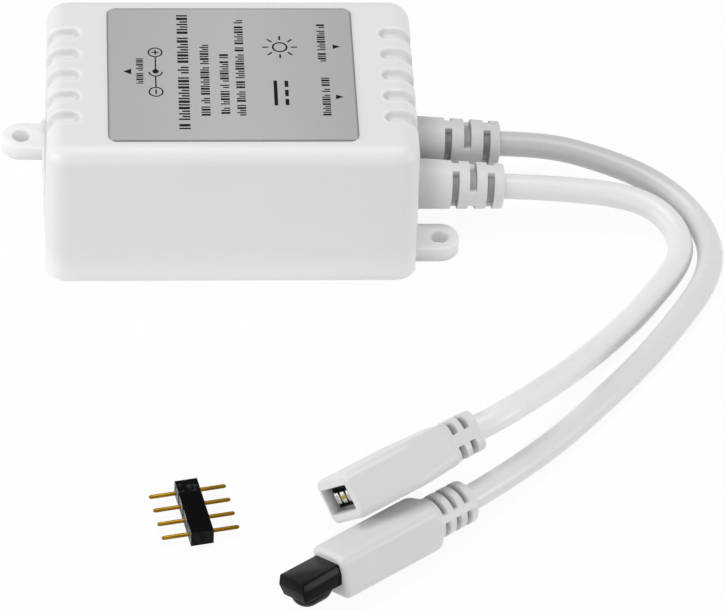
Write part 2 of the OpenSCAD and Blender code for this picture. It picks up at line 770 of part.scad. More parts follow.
module solder_joints() {
    color("silver") difference() {
        union() {
            pads(-cable_gap / 2, strip_wire_count);
            pads(cable_gap / 2, ir_wire_count);
        }
        wires(-cable_gap / 2, strip_wire_count);
        wires(cable_gap / 2, ir_wire_count);
    }
}

// A moulded strain relief: flange inside the wall, neck in it, slotted taper drooping outside
module strain_relief(slot_pitch) {
    collar_x = case_l / 2 + draft + neck_gap + relief_d / 2 * sin(droop);
    taper_l = (case_l / 2 + relief_reach - collar_x) / cos(droop);
    translate([flange_x, 0, 0]) rotate([0, 90, 0])
        cylinder(d = flange_d, h = flange_l, $fn = round_fn);
    translate([flange_x, 0, 0]) rotate([0, 90, 0])
        cylinder(d = neck_d, h = case_l / 2 + neck_into - flange_x, $fn = round_fn);
    translate([collar_x, 0, 0]) rotate([0, droop, 0]) difference() {
        rotate([0, 90, 0])
            cylinder(d1 = relief_d, d2 = relief_tip_d, h = taper_l, $fn = round_fn);
        for (i = [0:slot_count - 1])
            translate([taper_l - relief_tip_edge - relief_slot_w - i * slot_pitch, 0, 0])
                relief_slot(i % 2 == 0 ? side_rib_w : top_rib_w, i % 2 == 0 ? 0 : 90);
    }
}

// A pair of slots, one each side of a rib and of the core round the cable
module relief_slot(rib, turn) {
    rotate([turn, 0, 0]) difference() {
        translate([0, -relief_d, -relief_d]) cube([relief_slot_w, 2 * relief_d, 2 * relief_d]);
        translate([-cut, -rib / 2, -relief_d - cut])
            cube([relief_slot_w + 2 * cut, rib, 2 * relief_d + 2 * cut]);
        translate([-cut, 0, 0]) rotate([0, 90, 0])
            cylinder(d = relief_core_d, h = relief_slot_w + 2 * cut, $fn = round_fn);
    }
}

module strip_strain_relief() {
    color("gainsboro") translate([0, -cable_gap / 2, cable_z]) strain_relief(strip_slot_pitch);
}

module ir_strain_relief() {
    color("gainsboro") translate([0, cable_gap / 2, cable_z]) strain_relief(ir_slot_pitch);
}

module strip_cable() {
    color("whitesmoke")
        tube(curve(to_plug(strip_route, sock_end, sock_yaw, sock_rise), rings_per_span),
            cable_d, cable_sides);
}

module ir_cable() {
    color("whitesmoke")
        tube(curve(to_plug(ir_route, plug_end, plug_yaw, plug_rise), rings_per_span),
            cable_d, cable_sides);
}

// Cuts slots round a plug's neck, with bars left along it
module neck_slots(first, step, count, width, core, bars) {
    for (i = [0:count - 1]) translate([first + i * step, 0, 0]) difference() {
        translate([0, -sock_w, -sock_w]) cube([width, 2 * sock_w, 2 * sock_w]);
        translate([-cut, 0, 0]) rotate([0, 90, 0])
            cylinder(d = core, h = width + 2 * cut, $fn = round_fn);
        for (turn = bars) rotate([turn, 0, 0]) translate([-cut, -sock_w, -neck_bar_w / 2])
            cube([width + 2 * cut, 2 * sock_w, neck_bar_w]);
    }
}

module strip_socket_housing() {
    skin_t = sock_front_edge;
    color("whitesmoke") lay_plug(sock_end, sock_yaw, sock_rise, sock_roll, sock_total)
        difference() {
            union() {
                hull() {
                    slab(0, sock_w - 2 * sock_front_edge, sock_t - 2 * sock_front_edge,
                        sock_edge_r - sock_front_edge / 2, skin_t);
                    slab(sock_front_edge, sock_w, sock_t, sock_edge_r,
                        sock_straight - sock_front_edge);
                    slab(sock_l - skin_t, sock_neck_w, sock_neck_t, sock_neck_r, skin_t);
                }
                slab(sock_l - skin_t, sock_neck_w, sock_neck_t, sock_neck_r,
                    sock_neck_l + skin_t);
            }
            translate([-cut, -mouth_w / 2, -mouth_t / 2])
                cube([sock_recess + cut, mouth_w, mouth_t]);
            translate([0, -block_w / 2 - seat_gap, -block_t / 2 - seat_gap])
                cube([sock_recess + block_l, block_w + 2 * seat_gap, block_t + 2 * seat_gap]);
            neck_slots(sock_l + sock_slot_w / 2, sock_slot_pitch, sock_slot_count, sock_slot_w,
                relief_core_d, [0, 90]);
        }
}

module strip_socket_insert() {
    color("black") lay_plug(sock_end, sock_yaw, sock_rise, sock_roll, sock_total)
        translate([sock_recess, 0, 0]) difference() {
            translate([0, -block_w / 2, -block_t / 2]) cube([block_l, block_w, block_t]);
            for (i = [0:pin_count - 1])
                translate([-cut, (i - (pin_count - 1) / 2) * pitch - hole_side / 2, -hole_side / 2])
                    cube([blade_l + blade_set_back + cut, hole_side, hole_side]);
        }
}

// Each contact is a pair of blades joined at the back of its hole
module strip_socket_contacts() {
    color("gold") lay_plug(sock_end, sock_yaw, sock_rise, sock_roll, sock_total)
        for (i = [0:pin_count - 1])
            translate([sock_recess + blade_set_back, (i - (pin_count - 1) / 2) * pitch, 0]) {
                for (z = [-1, 1]) translate([0, -blade_w / 2, z * (blade_gap + blade_t) / 2
                    - blade_t / 2]) cube([blade_l, blade_w, blade_t]);
                translate([blade_l - blade_t, -blade_w / 2, -blade_gap / 2 - blade_t / 2])
                    cube([blade_t, blade_w, blade_gap + blade_t]);
            }
}

module ir_plug_housing() {
    skin_t = plug_front_edge;
    room_l = eye_inset + eye_lead_l;
    color("whitesmoke") lay_plug(plug_end, plug_yaw, plug_rise, plug_roll, plug_total)
        difference() {
            union() {
                hull() {
                    slab(0, plug_w - 2 * plug_front_edge, plug_t - 2 * plug_front_edge,
                        plug_edge_r - plug_front_edge / 2, skin_t);
                    slab(plug_front_edge, plug_w, plug_t, plug_edge_r,
                        plug_l - plug_front_edge - plug_shoulder_l);
                    slab(plug_l - skin_t / 2, plug_w - plug_shoulder, plug_t - plug_shoulder,
                        2 * plug_edge_r, skin_t / 2);
                }
                translate([plug_l - cut, 0, 0]) rotate([0, 90, 0])
                    cylinder(d = plug_neck_d, h = plug_neck_l + cut, $fn = round_fn);
            }
            translate([-cut, -eye_w / 2 - seat_gap, -eye_dome_out])
                cube([eye_inset + cut, eye_w + 2 * seat_gap, eye_block_t + eye_dome_out / 2]);
            translate([eye_inset - seat_gap, -eye_lead_gap - eye_lead_side, -eye_lead_side])
                cube([eye_lead_l + seat_gap, 2 * eye_lead_gap + 2 * eye_lead_side,
                    2 * eye_lead_side]);
            neck_slots(plug_l + plug_step_l, plug_slot_pitch, plug_slot_count, plug_slot_w,
                relief_core_d, [0, 90]);
        }
}

// The receiver's flat back lies on top, and its round eye looks down
module ir_receiver() {
    color("black") lay_plug(plug_end, plug_yaw, plug_rise, plug_roll, plug_total)
        translate([-eye_out, 0, -eye_dome_out / 2]) {
            translate([0, -eye_w / 2, 0]) cube([eye_l, eye_w, eye_block_t]);
            intersection() {
                translate([0, 0, eye_dome_r - eye_dome_out]) {
                    translate([eye_dome_r + eye_edge, 0, 0]) sphere(r = eye_dome_r, $fn = round_fn);
                    translate([eye_dome_r + eye_edge, 0, 0]) rotate([0, 90, 0])
                        cylinder(r = eye_dome_r, h = eye_out - 2 * eye_dome_r - 2 * eye_edge,
                            $fn = round_fn);
                    translate([eye_out - eye_dome_r - eye_edge, 0, 0])
                        sphere(r = eye_dome_r, $fn = round_fn);
                }
                translate([0, -eye_w / 2, -eye_dome_out]) cube([eye_out, eye_w, eye_block_t]);
            }
        }
}

module ir_receiver_leads() {
    color("silver") lay_plug(plug_end, plug_yaw, plug_rise, plug_roll, plug_total)
        for (i = [-1, 0, 1]) translate([eye_inset + eye_lead_l / 2, i * eye_lead_gap, 0])
            cube([eye_lead_l, eye_lead_side, eye_lead_side], center = true);
}

// Puts the header, drawn with its pins along X, where it lies
module lay_header() {
    translate([header_at[0], header_at[1], header_h / 2]) rotate(header_yaw) children();
}

module pin_header_body() {
    length = pin_count * pitch - 2 * header_trim;
    color("black") lay_header() difference() {
        translate([-header_w / 2, -length / 2, -header_h / 2])
            cube([header_w, length, header_h]);
        for (i = [1:pin_count - 1], x = [-1, 1])
            translate([x * header_w / 2, (i - pin_count / 2) * pitch, 0]) rotate(45)
                cube([header_notch, header_notch, header_h + 2 * cut], center = true);
        for (i = [0:pin_count - 1]) translate([0, (i - (pin_count - 1) / 2) * pitch, 0])
            rotate([0, 90, 0]) cylinder(d = header_pin_d, h = header_w + 2 * cut, center = true,
                $fn = round_fn);
    }
}

module pin_header_pins() {
    straight = header_pin_l - 2 * pin_point;
    color("gold") lay_header() for (i = [0:pin_count - 1])
        translate([0, (i - (pin_count - 1) / 2) * pitch, 0]) rotate([0, 90, 0]) {
            cylinder(d = header_pin_d, h = straight, center = true, $fn = round_fn);
            for (s = [0, 180]) rotate([s, 0, 0]) translate([0, 0, straight / 2])
                cylinder(d1 = header_pin_d, d2 = header_pin_d / 2, h = pin_point,
                    $fn = round_fn);
        }
}

case_shell();
base_plate();
label_plate();
circuit_board();
jack_housing();
jack_center_pin();
jack_spring_contact();
jack_shunt_contact();
filter_capacitor();
capacitor_leads();
voltage_regulator();
protection_diode();
microcontroller();
microcontroller_leads();
memory_chip();
memory_chip_leads();
mosfets();
mosfet_tabs();
chip_resistors();
chip_capacitors();
solder_joints();
strip_wires();
ir_wires();
strip_strain_relief();
ir_strain_relief();
strip_cable();
ir_cable();
strip_socket_housing();
strip_socket_insert();
strip_socket_contacts();
ir_plug_housing();
ir_receiver();
ir_receiver_leads();
pin_header_body();
pin_header_pins();
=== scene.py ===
"""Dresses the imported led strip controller: its case, label, board, cables, plugs and header."""
from math import asin, atan2, copysign, cos, hypot, pi, radians, sin, tan

import bmesh
import bpy
from mathutils import Matrix, Vector


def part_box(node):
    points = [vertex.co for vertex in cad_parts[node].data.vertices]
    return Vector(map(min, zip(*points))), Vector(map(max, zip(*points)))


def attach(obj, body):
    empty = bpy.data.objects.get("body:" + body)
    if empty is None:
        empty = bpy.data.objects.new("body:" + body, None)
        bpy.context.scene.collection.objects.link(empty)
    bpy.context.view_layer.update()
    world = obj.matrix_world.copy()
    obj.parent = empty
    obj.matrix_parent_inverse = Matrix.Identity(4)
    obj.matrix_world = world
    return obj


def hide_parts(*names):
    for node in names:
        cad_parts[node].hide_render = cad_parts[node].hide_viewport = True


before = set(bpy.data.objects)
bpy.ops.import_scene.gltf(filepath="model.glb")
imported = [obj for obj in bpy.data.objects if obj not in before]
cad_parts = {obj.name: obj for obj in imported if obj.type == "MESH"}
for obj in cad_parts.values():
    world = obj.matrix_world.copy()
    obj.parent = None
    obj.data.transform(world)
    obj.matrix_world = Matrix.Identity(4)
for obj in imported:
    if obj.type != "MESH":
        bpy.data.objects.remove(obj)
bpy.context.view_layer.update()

MM = 0.001
CASE_L, CASE_W, CASE_H = 50.0, 34.0, 22.25
WALL = 1.8
CORNER_R, TOP_R, FOOT_R, DRAFT = 3.0, 2.4, 0.4, 0.3
BASE_T = 2.3
BOARD_Z, BOARD_TOP = 4.0, 5.6
STAKE_X, STAKE_Y, SADDLE_W = 15.5, 12.4, 5.4
INNER_L, INNER_W, INNER_TOP = CASE_L - 2 * WALL, CASE_W - 2 * WALL, CASE_H - WALL
EAR_X, EAR_Y, EAR_R, EAR_HOLE_R = 28.65, 10.7, 2.7, 1.2
LIP_OUT, LIP_LOW = 0.9, 0.18
POST_X, POST_Y, POST_D = 21.2, 13.2, 4.6
PEG_D, PEG_PLAY, PLATE_PLAY = 2.4, 0.05, 0.2
JACK_Y, JACK_TOP, NOTCH_R = 4.7, 16.8, 3.0
FLUTE_PITCH, FLUTE_REACH, FLUTE_R, FLUTE_DEPTH, FLUTE_DROP = 4.4, 4.6, 1.14, 0.95, 8.0
FLUTES = [(i - 2) * FLUTE_PITCH for i in range(5)]
JACK_FLUTES_Y, JACK_FLUTE_CUT = 6.6, 3.2
LABEL_L, LABEL_W, LABEL_T, LABEL_R = 33.6, 28.0, 0.15, 1.25
CABLE_D, CABLE_Z, CABLE_Y = 3.5, 6.5, 4.5
DROOP = radians(2.55)
RELIEF_R, RELIEF_END = 3.5, 37.5
RELIEF_AT = CASE_L / 2 + DRAFT + 0.15 + RELIEF_R * sin(DROOP)
RELIEF_L = (RELIEF_END - RELIEF_AT) / cos(DROOP)
CAN_X, CAN_Y = -5.46, 8.84
PITCH = 2.54
HEADER_W, HEADER_L, HEADER_T = 3.0, 4 * PITCH - 0.3, 2.3


# Where the plugs and the loose header lie

def at(x, y, z):
    return Matrix.Translation((x, y, z))


def turned(degrees, axis):
    return Matrix.Rotation(radians(degrees), 4, axis)


class Lay:
    """Where a plug lies: its cable end, its turn, its rise to the back, its roll, its length."""

    def __init__(self, back, yaw, rise, roll, w, t, length, above):
        c, s = cos(radians(roll)), sin(radians(roll))
        height = ((w / 2 - PLUG_R) * s + (t / 2 - PLUG_R) * c + PLUG_R + 0.02
                  + above * sin(radians(rise)))
        self.end = Vector((*back, height))
        aim = turned(yaw, "Z") @ turned(-rise, "Y")
        self.axis = aim @ Vector((1, 0, 0))
        self.turn = at(*self.end) @ aim @ turned(-roll, "X") @ at(-length, 0, 0)


SOCK_W, SOCK_T, SOCK_L, SOCK_NECK = 12.9, 6.1, 17.4, 3.8
PLUG_W, PLUG_T, PLUG_L, PLUG_NECK = 6.4, 6.2, 16.7, 6.3
PLUG_R = 1.1
SOCKET = Lay((30.6, -55.85), 29, 8, 48, SOCK_W, SOCK_T, SOCK_L + SOCK_NECK, SOCK_L + SOCK_NECK)
PLUG = Lay((28.8, -63.21), 38, -3, 20, PLUG_W, PLUG_T, PLUG_L + PLUG_NECK, PLUG_NECK)
HEADER = at(-6.1, -62.7, HEADER_T / 2) @ turned(11.5, "Z")


# Shader maths

class Graph:
    """A material's node tree, with one call that adds any node."""

    def __init__(self, tree):
        self.tree = tree

    def node(self, kind, values=None, out=0, **settings):
        """Adds a node: its settings first, then its sockets' values or links. Gives an output."""
        made = self.tree.nodes.new(kind)
        for name, value in settings.items():
            setattr(made, name, value)
        for key, value in (values or {}).items():
            if isinstance(value, Value):
                self.tree.links.new(value.socket, made.inputs[key])
            else:
                made.inputs[key].default_value = value
        return Value(self, made.outputs[out]) if made.outputs else None


def binary(operation):
    return lambda self, other: self.math(operation, other)


class Value:
    """A socket that Python arithmetic turns into Math nodes."""

    __add__ = __radd__ = binary("ADD")
    __sub__ = binary("SUBTRACT")
    __mul__ = __rmul__ = binary("MULTIPLY")
    __truediv__ = binary("DIVIDE")

    def __init__(self, graph, socket):
        self.graph, self.socket = graph, socket

    def math(self, operation, *others):
        return self.graph.node("ShaderNodeMath", dict(enumerate((self, *others))),
                               operation=operation)

    def __rsub__(self, other):
        return (self * -1.0) + other

    def __abs__(self):
        return self.math("ABSOLUTE")

    def above(self, edge, soft):
        """0 below the edge and 1 above it, with a soft step as wide as given."""
        ends = {0: self, 1: edge - soft / 2, 2: edge + soft / 2, 3: 0.0, 4: 1.0}
        return self.graph.node("ShaderNodeMapRange", ends, interpolation_type="SMOOTHSTEP")


def mix(graph, factor, first, second):
    """Mixes two colours, each a socket, a tuple or the one number of a grey."""
    def whole(colour):
        if isinstance(colour, Value):
            return colour
        return (*colour, 1.0) if isinstance(colour, tuple) else (colour, colour, colour, 1.0)

    return graph.node("ShaderNodeMix", {0: factor, 6: whole(first), 7: whole(second)}, 2,
                      data_type="RGBA")


def noise(graph, scale, detail=3.0, rough=0.5):
    """Noise over the object's own coordinates: scale is the number of features in a millimetre."""
    return graph.node("ShaderNodeTexNoise", {
        "Vector": place(graph), "Scale": scale / MM, "Detail": detail, "Roughness": rough})


def place(graph):
    return graph.node("ShaderNodeTexCoord", out="Object")


def local_axes(graph, turn):
    """A turned piece's own x, y and z in millimetres, as sockets."""
    moved = vector(graph, "SUBTRACT", place(graph), turn.translation * MM)
    return [vector(graph, "DOT_PRODUCT", moved, turn.col[i].xyz / MM, 1) for i in range(3)]


def axes(graph):
    """The object's own x, y and z in millimetres."""
    outs = graph.node("ShaderNodeSeparateXYZ", {0: place(graph)}).socket.node.outputs
    return [Value(graph, out) * (1 / MM) for out in outs]


def bump(graph, height, depth):
    return graph.node("ShaderNodeBump",
                      {"Height": height, "Distance": depth * MM, "Strength": 1.0})


def distance(first, second):
    return (first * first + second * second).math("SQRT")


def vector(graph, operation, first, second, out=0):
    return graph.node("ShaderNodeVectorMath", {0: first, 1: second}, out, operation=operation)


def toned(graph, base, share, tone):
    """Multiplies a colour by a tone, as far as a share from 0 to 1 says."""
    return vector(graph, "MULTIPLY", base, mix(graph, share, 1.0, tone))


def cleared(owner):
    """The empty node tree of a material or a world."""
    owner.use_nodes = True
    owner.node_tree.nodes.clear()
    return Graph(owner.node_tree)


def surface(name, colour, roughness, metallic=0.0, grain=None, mottle=0.03, mottle_scale=0.12,
            paint=None, **fixed):
    """A material: colour with slow mottling, roughness that varies a little, and a fine grain."""
    material = bpy.data.materials.new(name)
    graph = cleared(material)
    slow = noise(graph, mottle_scale, 2.0)
    fine = noise(graph, mottle_scale * 9, 4.0, 0.6)
    dark = tuple(c * (1 - mottle) for c in colour)
    light = tuple(min(1.0, c * (1 + mottle)) for c in colour)
    base = mix(graph, slow * 0.7 + fine * 0.3, dark, light)
    if paint:
        base = paint(graph, base)
    values = {"Base Color": base, "Roughness": roughness + (fine - 0.5) * 0.16,
              "Metallic": metallic}
    if grain:
        scale, depth = grain
        values["Normal"] = bump(graph, noise(graph, scale, 3.0, 0.55), depth)
    values.update({key.replace("_", " "): value for key, value in fixed.items()})
    shader = graph.node("ShaderNodeBsdfPrincipled", values)
    graph.node("ShaderNodeOutputMaterial", {"Surface": shader})
    return material


# Finishes

def painted_shade_and_cut_edge(graph, base):
    """Darkens the label's edge, partly its cut edge and partly painted shade, and makes its grey
    paler in the middle and darker towards both ends.
    """
    x, y, _ = axes(graph)
    drift = mix(graph, abs(x) / (LABEL_L / 2), 1.1, 0.96)
    end, side = abs(x).above(LABEL_L / 2 - 0.22, 0.3), abs(y).above(LABEL_W / 2 - 0.2, 0.2)
    base = vector(graph, "MULTIPLY", base, drift)
    # A dark band along the edges: partly the cut edge, partly painted shade.
    return mix(graph, end.math("MAXIMUM", side) * 0.8, base, 0.13)


def painted_flute_shade_and_light(graph, base):
    """Painted shade greys the case in its flutes, most on their far side and tip, and painted
    highlights pale their rims.

    Its foot is painted paler too: painted bounce light from the white surface it stands on.
    """
    x, y, z = axes(graph)
    off = ((y / FLUTE_PITCH + 0.5).math("FRACT") - 0.5) * FLUTE_PITCH
    short = (1 - x.above(0.0, 0.1)) * (1 - abs(y).above(JACK_FLUTES_Y, 0.1)) * JACK_FLUTE_CUT
    inner = (CASE_L / 2 - FLUTE_REACH + FLUTE_R - abs(x)).math("MAXIMUM", 0.0)
    low = (short + (CASE_H - FLUTE_DROP + FLUTE_R) - z).math("MAXIMUM", 0.0)
    away = distance(distance(off, inner), low)
    near = 1 - abs(y).above(11.0, 0.1)
    inside = (1 - away.above(1.05, 0.3)) * near
    upper = z.above(20.2, 4.5)
    # Painted shade in the flutes, deepest on their far side and at their tips.
    base = toned(graph, base, (1 - away.above(0.8, 0.6)) * near * upper, 0.94)
    base = toned(graph, base, off.above(0.5, 0.6) * inside * upper, 0.9)
    base = toned(graph, base, inner.above(0.35, 0.6) * inside, 0.8)
    # Painted highlight on the flutes' rims.
    rim = away.above(1.1, 0.3) * (1 - away.above(1.55, 0.4)) * near
    base = toned(graph, base, rim, 1.05)
    # Painted bounce light: the foot paler towards the bottom.
    return toned(graph, base, 1 - z.above(3.2, 6.0), 1.12)


def painted_bore_light(graph, base):
    """Painted light inside the ears' holes, in place of light through the translucent plate."""
    x, y, _ = axes(graph)
    off = distance(abs(x) - EAR_X, abs(y) - EAR_Y)
    # Painted light on the holes' walls.
    return mix(graph, 1 - off.above(EAR_HOLE_R + 0.05, 0.06), base, (0.98, 0.98, 0.97))


def painted_shade_on_relief(graph, base):
    """Painted shade greys a strain relief in its slots, painted shadow greys it where it leaves
    the case, and more painted shade greys the rear one.
    """
    x, y, z = axes(graph)
    out = distance(abs(y) - CABLE_Y, z - CABLE_Z + (x - RELIEF_AT) * tan(DROOP))
    near = 1 - x.above(28.4, 4.0)
    rear = y.above(0.0, 0.5)
    # Painted shade in the slots.
    base = toned(graph, base, 1 - out.above(2.55, 0.9), (0.58, 0.58, 0.57))
    # Painted shadow near the case.
    base = toned(graph, base, near, (0.72, 0.72, 0.71))
    # Painted shade over the rear relief.
    return toned(graph, base, rear, (0.85, 0.85, 0.845))


def painted_rear_jacket_shadow(graph, base):
    """Painted shadow greys the rear cable where it leaves the case."""
    _, y, _ = axes(graph)
    # Painted shadow of the case on the rear cable.
    return toned(graph, base, y.above(-3.0, 9.0), 0.78)


def board_print(graph, base):
    """Copper under the green resist: slow patches of a ground plane, and tiny plated holes."""
    x, y, _ = axes(graph)
    cells = graph.node("ShaderNodeTexVoronoi", {
        "Vector": place(graph), "Scale": 0.45 / MM, "Randomness": 0.55}, feature="F1")
    via = 1 - cells.above(0.11, 0.03)
    plane = noise(graph, 0.16, 0.0).above(0.5, 0.012)
    poured = mix(graph, plane * 0.55, base, (0.075, 0.27, 0.11))
    return mix(graph, via * 0.8, poured, (0.42, 0.40, 0.30))


def sleeve_stripe(graph, base):
    """The pale stripe down the capacitor's sleeve, with its short bars."""
    x, y, z = axes(graph)
    side = (x - CAN_X).above(2.55, 0.06)
    bars = (z * 0.5).math("FRACT").above(0.55, 0.05) * (1 - abs(y - CAN_Y).above(0.45, 0.05))
    striped = mix(graph, side, base, (0.62, 0.66, 0.70))
    return mix(graph, side * bars, striped, (0.05, 0.06, 0.09))


def painted_header_light_and_patches(graph, base):
    """Painted light greys the header's left side, blotched by scuffs; its near end is a little
    paler and blotched, and the far end of its top has paler patches.
    """
    x, y, z = local_axes(graph, HEADER)
    side = 1 - x.above(0.04 - HEADER_W / 2, 0.03)
    end = 1 - y.above(0.05 - HEADER_L / 2, 0.03)
    blotches = noise(graph, 0.9, 3.0, 0.6).above(0.47, 0.1)
    top_patches = noise(graph, 1.4, 4.0, 0.7).above(0.56, 0.08)
    top_patches = top_patches * z.above(HEADER_T / 2 - 0.05, 0.03) * y.above(2.6, 0.8)
    # Painted light on the left side, blotched by scuffs.
    base = mix(graph, side * (blotches * 0.7 + 0.3), base, (0.24, 0.24, 0.25))
    base = mix(graph, end * (blotches * 0.6 + 0.4), base, (0.016, 0.016, 0.014))
    return mix(graph, top_patches, base, (0.03, 0.03, 0.031))


def painted_shade_on_plugs(graph, base):
    """Painted shade in the slots of both necks, and inside the socket's mouth."""
    for lay, start, end in ((SOCKET, 16.0, 20.3), (PLUG, 16.9, 22.7)):
        x, y, z = local_axes(graph, lay.turn)
        core = 1 - distance(y, z).above(2.45, 0.7)
        slots = core * x.above(start, 0.1) * (1 - x.above(end, 0.1))
        # Painted shade in the necks' slots.
        base = toned(graph, base, slots, (0.6, 0.6, 0.59))
        if lay is SOCKET:
            mouth = (1 - abs(y).above(5.6, 0.3)) * (1 - abs(z).above(2.3, 0.5))
            mouth = mouth * x.above(0.8, 1.4) * (1 - x.above(3.0, 0.1))
            # Painted shade inside the mouth.
            base = toned(graph, base, mouth, (0.5, 0.5, 0.49))
    return base


def gilt(graph, base):
    """A gilt spot in the middle of one contact's lips."""
    _, y, z = local_axes(graph, SOCKET.turn)
    spot = (1 - abs(z).above(0.22, 0.3)) * (1 - abs(y - PITCH / 2).above(0.8, 0.2))
    return mix(graph, spot, base, (0.36, 0.28, 0.03))


MAT = {
    "case": surface("case_white", (0.80, 0.815, 0.795), 0.42, grain=(2.2, 0.004), mottle=0.012,
                    paint=painted_flute_shade_and_light),
    "plate": surface("plate_white", (0.84, 0.855, 0.83), 0.45, mottle=0.015, paint=painted_bore_light,
                     Subsurface_Weight=0.7, Subsurface_Radius=(1.0, 1.0, 1.0),
                     Subsurface_Scale=0.0014),
    "label": surface("label_grey", (0.43, 0.43, 0.425), 0.38, grain=(5.0, 0.002),
                     mottle_scale=0.05, paint=painted_shade_and_cut_edge),
    "ink": surface("label_ink", (0.003, 0.003, 0.003), 0.5, mottle=0.1, Specular_IOR_Level=0.08),
    "relief": surface("relief_white", (0.76, 0.775, 0.76), 0.5, grain=(3.0, 0.008),
                      paint=painted_shade_on_relief),
    "cable": surface("cable_jacket", (0.85, 0.86, 0.85), 0.3, grain=(1.1, 0.012), mottle=0.02),
    # A shaded copy of the cable jacket: its darker colour is painted shade, and painted shadow is
    # added near the case.
    "shaded_rear_jacket": surface("cable_jacket_shaded", (0.76, 0.77, 0.76), 0.3, grain=(1.1, 0.012),
                          mottle=0.02, paint=painted_rear_jacket_shadow),
    "plug": surface("plug_white", (0.725, 0.735, 0.72), 0.4, grain=(2.4, 0.006), mottle=0.02,
                    paint=painted_shade_on_plugs),
    "header": surface("header_black", (0.0022, 0.0022, 0.0026), 0.4, grain=(3.5, 0.01),
                      mottle=0.3, paint=painted_header_light_and_patches, Specular_IOR_Level=0.02),
    "lips": surface("contact_metal", (0.46, 0.45, 0.43), 0.25, metallic=1.0, mottle=0.5,
                    mottle_scale=1.2, paint=gilt),
    "black": surface("moulded_black", (0.0022, 0.0022, 0.0026), 0.4, grain=(3.5, 0.01), mottle=0.3,
                     Specular_IOR_Level=0.02),
    "lens": surface("receiver_black", (0.0035, 0.003, 0.0035), 0.16, mottle=0.3,
                    Specular_IOR_Level=0.08),
    "gold": surface("gold_plate", (0.21, 0.115, 0.008), 0.28, metallic=1.0, grain=(2.2, 0.006),
                    mottle=0.55, mottle_scale=0.5),
    "tin": surface("tinned_metal", (0.72, 0.72, 0.70), 0.3, metallic=1.0, grain=(3.0, 0.006),
                   mottle=0.08, mottle_scale=0.6),
    "solder": surface("solder_metal", (0.66, 0.67, 0.69), 0.22, metallic=1.0, grain=(2.0, 0.01),
                      mottle=0.08, mottle_scale=0.8),
    "board": surface("board_resist", (0.035, 0.16, 0.065), 0.34, grain=(3.0, 0.004), mottle=0.08,
                     paint=board_print),
    "chip": surface("chip_epoxy", (0.018, 0.018, 0.02), 0.55, grain=(6.0, 0.006), mottle=0.2),
    "ceramic": surface("capacitor_ceramic", (0.46, 0.35, 0.22), 0.5, grain=(5.0, 0.004),
                       mottle=0.1),
    "sleeve": surface("capacitor_sleeve", (0.018, 0.022, 0.045), 0.3, mottle=0.1,
                      paint=sleeve_stripe),
    "white_wire": surface("wire_white", (0.74, 0.74, 0.72), 0.4, mottle=0.04, mottle_scale=0.6),
    "red_wire": surface("wire_red", (0.50, 0.03, 0.025), 0.4, mottle=0.08, mottle_scale=0.6),
}


# Shapes, in millimetres

def along_x(x, y, z):
    """Turns a lathe's axis from Z to X."""
    return at(x, y, z) @ turned(90, "Y")


def circle(sides):
    return [2 * pi * k / sides for k in range(sides)]


def arc(cx, cy, r, start, end, steps):
    """Points of an arc round a middle, from one angle to another in degrees."""
    turns = (radians(start + (end - start) * k / steps) for k in range(steps + 1))
    return [(cx + r * cos(a), cy + r * sin(a)) for a in turns]


def corners(x, y):
    return [(side_x * x, side_y * y) for side_x in (-1, 1) for side_y in (-1, 1)]


def quarter(r, steps):
    """(inset, height) pairs up an eased edge, from a flat face to a straight side."""
    turns = (pi / 2 * k / steps for k in range(steps + 1))
    return [(r * (1 - sin(a)), r * (1 - cos(a))) for a in turns]


def eased(low, high, edge, steps=3):
    """(inset, height) pairs from low to high, eased at both."""
    pairs = quarter(edge, steps)
    return [(t, low + up) for t, up in pairs] + [(t, high - up) for t, up in reversed(pairs)]


class Shape:
    """Vertices and faces of one piece, to which closed forms are added."""

    def __init__(self, turn=None):
        self.verts, self.faces = [], []
        self.turn = turn or Matrix.Identity(4)

    def add(self, verts, faces, turn=None):
        base = len(self.verts)
        turn = self.turn @ turn if turn else self.turn
        self.verts += [turn @ Vector(v) for v in verts]
        self.faces += [tuple(base + i for i in face) for face in faces]
        return self

    def loft(self, rings, caps=(True, True), turn=None):
        """Joins rings of the same number of points by a skin."""
        n = len(rings[0])
        verts = [point for ring in rings for point in ring]
        faces = [(i * n + k, i * n + (k + 1) % n, (i + 1) * n + (k + 1) % n, (i + 1) * n + k)
                 for i in range(len(rings) - 1) for k in range(n)]
        if caps[0]:
            faces.append(tuple(reversed(range(n))))
        if caps[1]:
            faces.append(tuple((len(rings) - 1) * n + k for k in range(n)))
        return self.add(verts, faces, turn)

    def lathe(self, profile, sides, turn):
        """Turns (radius, height) pairs about Z."""
        return self.loft([[(r * cos(a), r * sin(a), z) for a in circle(sides)]
                          for r, z in profile], turn=turn)

    def box(self, low, high):
        """A plain box from its lowest to its highest corner."""
        (x0, y0, z0), (x1, y1, z1) = low, high
        verts = [(x, y, z) for x in (x0, x1) for y in (y0, y1) for z in (z0, z1)]
        return self.add(verts, [(0, 1, 3, 2), (4, 6, 7, 5), (0, 4, 5, 1), (2, 3, 7, 6),
                                (0, 2, 6, 4), (1, 5, 7, 3)])

    def soft_box(self, low, high, corner, edge):
        """A box with round upright edges, eased above and below."""
        (x0, y0, z0), (x1, y1, z1) = low, high
        return self.loft([rect_ring(x1 - x0 - 2 * t, y1 - y0 - 2 * t, max(corner - t, 0.02), z)
                          for t, z in eased(0, z1 - z0, edge)],
                         turn=at((x0 + x1) / 2, (y0 + y1) / 2, z0))

    def mesh(self, name):
        made = bpy.data.meshes.new(name)
        made.from_pydata([v * MM for v in self.verts], [], self.faces)
        return made

    def piece(self, name, *what, **how):
        return finish_piece(name, self.mesh(name), *what, **how)


